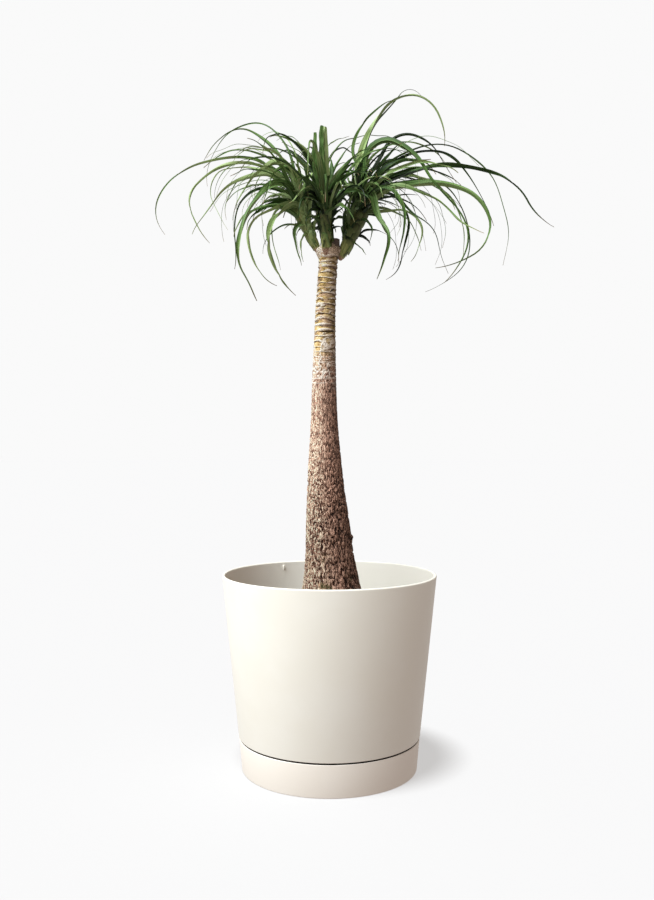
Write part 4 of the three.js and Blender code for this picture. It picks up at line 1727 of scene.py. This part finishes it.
    def axis(self) -> tuple[Array, float]:
        """Works out which way the shoot grows.

        Returns:
            Its direction and its length.
        """
        reach = np.array(self.tip, float) - self.foot
        length = float(np.linalg.norm(reach))
        return reach / length, length

    def core(self, height: Array) -> Array:
        """Works out how stout the shoot is.

        Args:
            height: heights above its foot.

        Returns:
            The radius of the shoot there.
        """
        _, length = self.axis()
        girths = [(-self.root, 0.25), (-11, 0.55), (-5, 0.76), (2, 0.86), (12, 0.93), (30, 0.95)]
        girths += [(length - 6, 1.05), (length + 6, 0.8), (length + self.bud, 0.3)]
        return self.girth * read_curve(girths, height)

    def follow(self, leaf: Leaf) -> tuple[Array, Array, Array]:
        """Follows a leaf's headings from its root.

        Args:
            leaf: the leaf to follow.

        Returns:
            The middle, the direction and the sideways direction at each step.
        """
        twist, n, whole = self.twist, leaf.number, 2 * math.pi
        share = np.linspace(0, 1, self.steps + 1)
        azimuth = np.radians(leaf.azimuth + (leaf.end_azimuth - leaf.azimuth) * share)
        turns = len(leaf.headings) - 1
        pitch = np.interp(share * turns, np.arange(turns + 1), leaf.headings)
        kinks = draw_in(twist.kinks, n, Trait.KINKS)
        uneven = share * np.sin(whole * (kinks * share + draw(n, Trait.KINK_START)))
        pitch = np.radians(pitch + draw_in(twist.kink_depth, n, Trait.KINK_DEPTH) * uneven)
        flat = np.stack([np.cos(azimuth), np.sin(azimuth), np.zeros_like(azimuth)], -1)
        along = flat * np.cos(pitch)[:, None] + np.sin(pitch)[:, None] * np.array([0, 0, 1])
        level = np.stack([-np.sin(azimuth), np.cos(azimuth), np.zeros_like(azimuth)], -1)
        side = 1 if draw(n, Trait.LEAN_SIDE) < twist.to_one_side else -1
        lean = draw_in(twist.lean, n, Trait.LEAN) * side
        lean = 0.0 if leaf.clipped else lean * smoothstep(share, 0, twist.leaned_at)
        most = twist.clipped_roll if leaf.clipped else draw_in(twist.roll_depth, n, Trait.ROLL_DEPTH)
        rolls = draw_in(twist.rolls, n, Trait.ROLLS)
        rolled = share * np.sin(whole * (rolls * share + draw(n, Trait.ROLL_START)))
        rippled = share * np.sin(whole * (twist.ripples * share + draw(n, Trait.RIPPLE_START)))
        roll = np.radians(lean + most * rolled + twist.ripple_depth * rippled)[:, None]
        across = level * np.cos(roll) + np.cross(along, level) * np.sin(roll)
        hops = along * leaf.length / self.steps
        middle = np.array(leaf.root) + np.vstack([np.zeros(3), np.cumsum(hops[:-1], axis=0)])
        return middle, along, across

    def sheathed(self, leaf: Leaf) -> tuple[Array, ...]:
        """Follows a leaf from the foot of its sheath, which hugs the shoot.

        Args:
            leaf: the leaf to follow.

        Returns:
            At each row: the middle, the direction, the sideways direction, the share of the
            length (below 0 on the sheath), half the width, and how tightly it bends round the shoot.
        """
        middle, along, across = self.follow(leaf)
        share = np.linspace(0, 1, self.steps + 1)
        axis, _ = self.axis()
        outward = compass(leaf.azimuth)
        outward -= axis * (outward @ axis)
        outward /= np.linalg.norm(outward)
        over = np.cross(axis, outward)
        seat = float((np.array(leaf.root) - self.foot) @ axis)
        hug = 1 - smoothstep(share * leaf.length, 0, self.parted)
        out = self.core(np.array([seat]))[0] + self.sheath_gap
        middle = middle + outward * out * hug[:, None]
        rise = np.arange(self.sheath_steps) / self.sheath_steps
        foot = self.cork_top + draw_in((0, 4), leaf.number, Trait.SHEATH_FOOT)
        lowest = max(seat - self.sheath, min(foot, seat - 1))
        heights = seat + (lowest - seat) * (1 - rise)
        gap = lerp(-2.4, self.sheath_gap, smoothstep(rise, 0, 0.8))
        reach = np.maximum(self.core(heights) + gap, 0.5)
        low = np.array(self.foot) + np.outer(heights, axis) + np.outer(reach, outward)
        middle = np.vstack([low, middle])
        hug = np.concatenate([np.ones(self.sheath_steps), hug])
        share = np.concatenate([-self.sheath_share * (1 - rise), share])
        fill, close = np.ones((self.sheath_steps, 1)), hug[:, None]
        along = np.vstack([fill * axis, along]) * (1 - close) + axis * close
        across = np.vstack([fill * over, across]) * (1 - close) + over * close
        half = self.widths(leaf, np.maximum(share, 0)) / 2 * (1 + 0.3 * hug)
        middle = self.keep_in_quarter(middle, half)
        return middle, along, across, share, half, hug / out

    def bare(self, leaf: Leaf) -> tuple[Array, ...]:
        """Follows a thread, which has no sheath.

        Args:
            leaf: the leaf to follow.

        Returns:
            What sheathed returns.
        """
        middle, along, across = self.follow(leaf)
        share = np.linspace(0, 1, self.steps + 1)
        half = self.widths(leaf, share) / 2
        return self.keep_in_quarter(middle, half), along, across, share, half, np.zeros(len(share))

    def blade_chart(self, sides: Array, fronts: int, rows: int, lane: int, lanes: int) -> Array:
        """Lays a blade's upper and lower face side by side on the head's flat map.

        Args:
            sides: how far to the side each point of a ring lies, from -1 to 1.
            fronts: how many of them are on the upper face.
            rows: how many rings the blade has.
            lane: the leaf's place on the map.
            lanes: how many places the map has.

        Returns:
            The place of each face corner, in the order of tube_faces.
        """
        columns = len(sides)
        row, first = np.divmod(np.arange((rows - 1) * columns), columns)
        after = (first + 1) % columns
        across = np.stack([sides[first], sides[after], sides[after], sides[first]], -1)
        u = (lane + 0.25 + 0.5 * (first >= fronts - 1)[:, None] + across * 0.2) / lanes
        v = np.stack([row, row, row + 1, row + 1], -1) / (rows - 1) * 0.96 + 0.02
        lift = np.where(np.arange(columns) >= fronts, 0.0036, -0.0036)
        foot, tip = (np.stack([(lane + 0.25 + sides * 0.2) / lanes, at + lift], -1) for at in (0.005, 0.995))
        return np.vstack([np.stack([u, v], -1).reshape(-1, 2), foot[::-1], tip])

    def blade(self, draft: Draft, leaf: Leaf, lane: int, lanes: int) -> None:
        """Adds one strap blade: a shallow channel with a keel, tapering to a thread.

        Args:
            draft: the mesh to add to.
            leaf: the leaf to build.
            lane: the leaf's place on the head's flat map.
            lanes: how many places that map has.
        """
        path = self.bare(leaf) if leaf.thread else self.sheathed(leaf)
        middle, along, across, share, half, bend = path
        across = across / np.linalg.norm(across, axis=1)[:, None]
        up = np.cross(along, across)
        up /= np.linalg.norm(up, axis=1)[:, None]
        half, bend = half[:, None], np.maximum(bend, 1e-6)[:, None]
        flatness = 1 - np.clip(bend * self.girth, 0, 1)
        thick = self.thickness * np.clip(half / 2.5, 0.35, 1)
        upper, lower = THREAD_SIDES if leaf.thread else STRAP_SIDES
        rings = []
        for i, side in enumerate(upper + lower):
            dip = self.fold * half * flatness * ((1 - abs(side) ** 1.15) - 0.5)
            if i >= len(upper):
                dip = dip + thick * (1 - 0.4 * abs(side))
            angle = np.clip(side * half * bend, -1.9, 1.9)
            rings.append(middle + across * np.sin(angle) / bend + up * ((1 - np.cos(angle)) / bend - dip))
        columns, rows = len(rings), len(share)
        points = np.stack(rings, axis=1).reshape(-1, 3)
        sides = np.array(upper + lower, float)
        draft.add(
            points,
            tube_faces(rows, columns),
            chart=self.blade_chart(sides, len(upper), rows, lane, lanes),
            along=np.repeat(share, columns),
            side=np.tile(sides, rows),
            tone=self.tone(leaf),
            dry=0.0 if leaf.clipped else draw_in((0.3, 1.0), leaf.number, Trait.DRYNESS),
            husk=0.0,
            cork=0.0,
            # painted shade deep in the head, less on the clipped leaves
            depth=self.depth(points) * (self.clipped_painted_shade if leaf.clipped else 1.0),
        )

    def depth(self, points: Array) -> Array:
        """Works out how deep in the head points lie, for the shade painted there.

        Args:
            points: places.

        Returns:
            How much darker each is painted: the head's painted shade near the shoot, and 0 out among the
                tips.
        """
        axis, length = self.axis()
        reach = points - self.foot
        height = np.clip(reach @ axis, 0, length + self.bud - 1)
        apart = np.linalg.norm(reach - np.outer(height, axis), axis=1)
        near = 1 - smoothstep(apart, *self.painted_shade_reach)
        return self.painted_shade_strength * near * smoothstep(height, *self.painted_shade_rise)

    def tone(self, leaf: Leaf) -> float:
        """Draws how light a leaf is: the upright inner ones are the youngest, and the head's painted light
        is added.

        Args:
            leaf: the leaf.

        Returns:
            Its tone, from 0 to 1.
        """
        upright = smoothstep(np.array([leaf.headings[len(leaf.headings) // 2]]), -10, 80)[0]
        drawn = draw_in(self.tones, leaf.number, Trait.TONE) + self.youth * upright + self.head_painted_light
        drawn += self.clipped_lightness if leaf.clipped else 0.0
        return float(np.clip(drawn, 0, 1))

    def shoot(self, draft: Draft, lane: int, lanes: int) -> None:
        """Adds the stout shoot that the leaves grow from, corky at its foot.

        Args:
            draft: the mesh to add to.
            lane: the shoot's place on the head's flat map, two places wide.
            lanes: how many places that map has.
        """
        axis, length = self.axis()
        sideways = np.cross([0, 1, 0] if abs(axis[1]) < 0.7 else [1, 0, 0], axis)
        sideways /= np.linalg.norm(sideways)
        forward = np.cross(axis, sideways)
        heights = np.linspace(-self.root, length + self.bud, self.rings)
        h, a = (g.ravel() for g in np.meshgrid(heights, full_turn(self.sides), indexing="ij"))
        rough = Noise(self.first_number).layered(np.stack([4 * np.cos(a), 4 * np.sin(a), h / 2.2], -1))
        radius = self.core(h) * (1 + 0.07 * rough)
        spokes = np.outer(np.cos(a), sideways) + np.outer(np.sin(a), forward)
        points = np.array(self.foot) + np.outer(h, axis) + radius[:, None] * spokes
        left, right, middle = ((lane + share) / lanes for share in (0.03, 1.93, 0.5))
        chart = TubeMap((left, 0.05), (right, 0.95), (middle, 0.022), (middle, 0.977), (0.3 / lanes, 0.018))
        draft.add(
            points,
            tube_faces(self.rings, self.sides),
            chart=chart.corners(self.rings, self.sides),
            along=0.1 * (h - h.min()) / (h.max() - h.min()),
            side=((a / math.pi * 5) % 2) - 1,
            tone=0.5,
            dry=0.0,
            husk=0.9 * (1 - smoothstep(h + 3 * rough, 6, 24)),
            # painted shade on the shoot, above its foot
            depth=self.painted_shade_strength * smoothstep(h, *self.painted_shade_rise),
            cork=1 - smoothstep(h + 2.5 * rough, self.cork_top, self.cork_top + 5),
        )

    def build(self, finish: Material) -> None:
        """Builds the head and dresses it.

        Args:
            finish: the leaves' material.
        """
        grown = self.shown_leaves() + self.filler_leaves()
        leaves = grown + self.heart_leaves() + self.skirt_leaves() + self.thread_leaves()
        lanes = len(leaves) + 2
        draft = Draft()
        self.shoot(draft, lanes - 2, lanes)
        for lane, leaf in enumerate(leaves):
            self.blade(draft, leaf, lane, lanes)
        low, high = (np.array(p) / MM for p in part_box(self.name))
        points = np.vstack(draft.points)
        over = max((low - points.min(0)).max(), (points.max(0) - high).max())
        log.info("%s reaches %.1f mm past its CAD box", self.name, over)
        seated(draft.make(self.name + "_leaves", [finish], crease=60), [self.name])


# Each row holds what the photograph shows of one leaf: its azimuth, its place on the shoot from
# 0 to 1, its width and length, and its headings from root to tip.
HEADS: list[Head] = [
    Head(
        name="head_left",
        quarter=Quarter.LEFT,
        first_number=100,
        foot=(-20, 0, 733),
        tip=(-45, 0, 785),
        girth=7,
        fill=Fill(count=14, length=(110, 230), rise=(55, 85), droop=(-40, -95)),
        rows=[
            (178, 0.85, 10, 320, (85, 45, 15, -15, -25, -80, -125)),
            (163, 0.95, 10, 235, (90, 65, 50, 30, -35, -60)),
            (150, 1.0, 6, 300, (90, 75, 45, -5, -50, -100)),
            (170, 0.9, 11, 200, (80, 75, 30, 20, -20, -45)),
            (186, 0.8, 11, 285, (85, 45, 15, -20, -50, -115, -130)),
            (155, 0.8, 6, 215, (90, 35, 35, -25, -100)),
            (146, 0.8, 6, 300, (85, 35, 20, -5, -115, -135)),
            (192, 0.75, 13, 225, (75, 50, -10, -40, -55, -70)),
            (160, 0.7, 7, 200, (80, 45, 15, -55, -100)),
            (205, 0.9, 16, 185, (85, 75, -35, -55, -75)),
            (143, 0.8, 10, 160, (90, 45, 50, -45, -110)),
            (168, 0.6, 11, 225, (85, 35, -5, -70, -100, -75)),
            (215, 0.75, 18, 265, (100, 20, -45, -60, -80, -120, -125)),
            (200, 0.6, 11, 205, (95, -20, -30, -95, -120, -165)),
            (222, 0.65, 15, 195, (90, -25, -45, -85, -115, -135, -150)),
            (147, 0.6, 7, 155, (70, 20, -80, -110, -105)),
            (158, 0.3, 7, 100, (45, 20, -20, -50, -95)),
            (218, 0.35, 10, 85, (80, -30, -100, -110, -105)),
            (220, 0.15, 7, 60, (75, -55, -95, -115)),
            (196, 0.7, 13, 115, (95, 10, -25, -40, -85)),
            (184, 0.95, 7, 160, (85, 85, 30, 0, -70)),
            (228, 0.9, 11, 150, (90, 80, -20, -70, -65)),
            (138, 1.0, 6, 175, (95, 90, 60, 25, -40)),
        ],
        threads=16,
        thread_length=(110, 230),
        cork_top=-8,
        head_painted_light=0.42,
        painted_shade_strength=0.25,
    ),
    Head(
        name="head_right",
        quarter=Quarter.RIGHT,
        first_number=200,
        foot=(21, 0, 726),
        tip=(46, 0, 781),
        girth=9,
        fill=Fill(count=13, length=(110, 230), rise=(55, 85), droop=(-40, -95)),
        rows=[
            (12, 1.0, 15, 300, (100, 90, 65, 55, 5, -65, -95)),
            (28, 1.0, 6, 240, (95, 85, 75, 45, 55, -55)),
            (-36, 1.0, 14, 185, (100, 90, 115, 55, 30, 0)),
            (40, 1.0, 9, 155, (90, 85, 45, -25)),
            (-6, 0.95, 9, 240, (100, 55, 65, -20, -60, -60)),
            (8, 0.9, 11, 300, (90, 45, 35, 0, -50, -60, -75)),
            (-3, 0.85, 14, 335, (80, 25, 15, -5, -25, -60, -30)),
            (-14, 0.75, 14, 340, (80, 10, 0, -25, -80, -150, -180)),
            (-22, 0.95, 13, 380, (75, 95, -30, -60, -45, -100, -150)),
            (-30, 0.7, 13, 230, (60, 30, -20, -35, -50, -15)),
            (18, 0.85, 9, 275, (75, 45, -10, -30, -80, -95)),
            (24, 0.8, 6, 385, (80, 20, 10, -45, -90, -135, -170)),
            (2, 0.9, 6, 385, (85, 45, 20, -25, -60, -85, -105)),
            (38, 0.85, 6, 270, (75, 50, 20, 5, -10, -110)),
            (-20, 0.5, 10, 175, (90, -5, 5, -45, -105, -130)),
            (14, 0.5, 7, 150, (75, 40, -10, -25, -70, -70)),
            (-36, 0.8, 7, 245, (110, 10, -55, -35, -70, -75)),
            (-40, 0.7, 11, 190, (70, 40, -30, -75, -110, -90)),
            (34, 0.65, 10, 240, (45, 55, -30, -100, -110, -150)),
            (-56, 0.8, 18, 210, (140, 15, -80, -40, -120, -125)),
            (42, 0.55, 7, 140, (75, 25, -55, -30, -115)),
            (30, 0.35, 7, 65, (10, 35, -5, -15)),
            (-42, 0.4, 9, 75, (85, 5, -70, -140)),
            (-25, 0.1, 7, 42, (70, -35, -45, -65)),
            (4, 0.6, 9, 110, (85, 30, 10, 0)),
            (16, 0.85, 15, 165, (85, 75, 35, 0, 10)),
            (-10, 0.85, 16, 160, (90, 55, 35, -10, -65)),
            (26, 0.9, 9, 235, (90, 75, 25, -5, -65)),
        ],
        threads=20,
        thread_length=(120, 270),
        cork_top=-14,
        head_painted_light=0.02,
        painted_shade_strength=0.62,
    ),
    Head(
        name="head_front",
        quarter=Quarter.FRONT,
        first_number=300,
        foot=(-5, -16, 729),
        tip=(-6, -34, 794),
        girth=7,
        fill=Fill(count=14, length=(130, 280), rise=(50, 82), droop=(-50, -100)),
        rows=[
            (262, 1.0, 16, 92, (85, 85, 90, 92)),
            (236, 1.0, 15, 93, (70, 80, 90, 98)),
            (228, 1.0, 15, 84, (58, 65, 85, 95)),
            (230, 0.9, 14, 78, (45, 60, 85, 95)),
            (229, 0.8, 11, 90, (65, 5, -50, -35)),
            (311, 0.9, 14, 90, (45, 45, 25, 20)),
            (304, 0.85, 13, 115, (45, 15, -5, -55)),
            (313, 0.7, 13, 100, (20, 25, -25, -60)),
            (230, 0.7, 11, 85, (35, 10, -60, -120)),
            (300, 0.6, 11, 90, (20, 0, -40, -60)),
            (240, 0.5, 10, 80, (55, -10, -50, -120)),
        ],
        threads=6,
        thread_length=(70, 150),
        clipped_rows=4,
        cork_top=-6,
        hearts=4,
    ),
    Head(
        name="head_back",
        quarter=Quarter.BACK,
        first_number=400,
        foot=(-3, 16, 730),
        tip=(-12, 40, 787),
        girth=7,
        fill=Fill(count=18, length=(130, 280), rise=(60, 85), droop=(-15, -65)),
        rows=[
            (128, 1.0, 6, 200, (95, 60, 45, -10)),
            (60, 1.0, 7, 185, (95, 85, 30, 20)),
            (52, 1.0, 6, 300, (90, 65, 25, 15, 0)),
            (120, 0.9, 10, 240, (90, 45, 30, -35)),
            (72, 0.95, 9, 280, (95, 45, 15, -10)),
            (105, 1.0, 9, 230, (95, 60, 15, -20)),
        ],
        threads=10,
        thread_length=(110, 220),
        head_painted_light=-0.12,
        painted_shade_strength=0.75,
        hearts=9,
    ),
]


# ---------------- studio


class Reach(Enum):
    """What a lamp lights of the floor and the rest."""

    ALL_BUT_FLOOR = "EXCLUDE"
    FLOOR_ALONE = "INCLUDE"


@dataclass(frozen=True)
class Lamp:
    """A far lamp with a broad disc."""

    name: str
    strength: float
    colour: Triple
    azimuth: float  # the direction that it comes from
    height: float  # its angle above the level
    spread: float  # the angle that its disc fills
    reach: Reach
    distance: float = 3.0

    def hang(self, floor: Body) -> Body:
        """Hangs the lamp.

        Args:
            floor: the floor that it leaves out, or lights alone.

        Returns:
            The lamp.
        """
        light = bpy.data.lights.new(self.name, "SUN")
        light.energy, light.angle, light.color = self.strength, math.radians(self.spread), self.colour
        holder = bpy.data.objects.new(self.name, light)
        a, h = math.radians(self.azimuth), math.radians(self.height)
        place = Vector((math.cos(a) * math.cos(h), math.sin(a) * math.cos(h), math.sin(h)))
        holder.location = place * self.distance
        holder.rotation_euler = place.to_track_quat("Z", "Y").to_euler()
        bpy.context.scene.collection.objects.link(holder)
        reached = bpy.data.collections.new(self.name + "_reach")
        reached.objects.link(floor)
        reached.collection_objects[0].light_linking.link_state = self.reach.value
        holder.light_linking.receiver_collection = reached
        return holder


@dataclass
class Studio:
    """A plain pale floor, soft light from the left, and the camera at the photograph's place."""

    camera_place: Triple = (-0.0034, -1.25, 0.4438)
    lens: float = 35.48
    sensor: float = 36.0
    clip: Pair = (0.05, 200)
    backdrop: float = 0.955  # brightness of the pale background
    ambient: Triple = (0.385, 0.335, 0.305)  # warm, as the shade is
    floor_reach: float = 40.0
    floor_tone: Triple = (0.215, 0.215, 0.215)
    floor_glow: float = 0.51
    key: Lamp = Lamp("key", 5.25, (0.9, 0.975, 1.0), 215, 55, 44, Reach.ALL_BUT_FLOOR)
    above: Lamp = Lamp("above", 5.7, (0.95, 0.975, 1.0), 238, 77, 12, Reach.FLOOR_ALONE)

    def floor(self) -> Body:
        """Lays the pale floor, which glows a little and takes the planter's shadow.

        Returns:
            The floor.
        """
        mesh = bpy.data.meshes.new("studio_floor")
        reach = self.floor_reach
        corners = [(-reach, -reach, 0), (reach, -reach, 0), (reach, reach, 0), (-reach, reach, 0)]
        mesh.from_pydata(corners, [], [(0, 1, 2, 3)])
        laid = bpy.data.objects.new("studio_floor", mesh)
        recipe = Recipe("pale_floor", 0.9, 0.0)
        recipe.shader.inputs["Base Color"].default_value = (*self.floor_tone, 1)
        recipe.shader.inputs["Emission Color"].default_value = (1, 1, 1, 1)
        recipe.shader.inputs["Emission Strength"].default_value = self.floor_glow
        mesh.materials.append(recipe.material)
        bpy.context.scene.collection.objects.link(laid)
        laid.visible_diffuse = False
        return laid

    def lights(self, floor: Body, moulded: list[Body]) -> None:
        """Hangs the key lamp on the left and the floor's own lamp.

        Args:
            floor: what the key lamp leaves out, so that only the high lamp throws a shadow on it.
            moulded: the pieces that stand on the floor, and throw that shadow.
        """
        self.key.hang(floor)
        above = self.above.hang(floor)
        casting = bpy.data.collections.new("above_casting")
        for piece in moulded:
            casting.objects.link(piece)
        above.light_linking.blocker_collection = casting

    def world(self) -> None:
        """Sets the even warm light all round, behind which the camera sees a pale background."""
        world = bpy.data.worlds.new("studio")
        world.use_nodes = True
        tree = world.node_tree
        even, seen = tree.nodes["Background"], tree.nodes.new("ShaderNodeBackground")
        even.inputs["Color"].default_value = (*self.ambient, 1)
        seen.inputs["Color"].default_value = (1, 1, 1, 1)
        seen.inputs["Strength"].default_value = self.backdrop
        paths, choice = tree.nodes.new("ShaderNodeLightPath"), tree.nodes.new("ShaderNodeMixShader")
        sources = (paths.outputs["Is Camera Ray"], even.outputs[0], seen.outputs[0])
        for number, source in enumerate(sources):
            tree.links.new(source, choice.inputs[number])
        tree.links.new(choice.outputs[0], tree.nodes["World Output"].inputs[0])
        bpy.context.scene.world = world

    def camera(self) -> None:
        """Sets the level camera."""
        lens = bpy.data.cameras.new("camera")
        lens.lens, lens.sensor_width = self.lens, self.sensor
        lens.clip_start, lens.clip_end = self.clip
        holder = bpy.data.objects.new("camera", lens)
        holder.location = self.camera_place
        holder.rotation_euler = (math.pi / 2, 0, 0)
        bpy.context.scene.collection.objects.link(holder)
        bpy.context.scene.camera = holder

    def build(self, moulded: list[Body]) -> None:
        """Builds the studio round the part.

        Args:
            moulded: the pieces that stand on its floor.
        """
        self.lights(self.floor(), moulded)
        self.world()
        self.camera()
        bpy.context.scene.view_settings.view_transform = "Standard"


def main() -> None:
    """Builds every piece in order, then the studio."""
    logging.basicConfig(level=logging.INFO, format="%(message)s")
    planter = Planter()
    moulded = [Saucer().build(), planter.build()]
    Soil(planter).build()
    Trunk().build()
    leaf_finish = LeafFinish().build()
    for head in HEADS:
        head.build(leaf_finish)
    Studio().build(moulded)


if __name__ == "__main__":
    main()
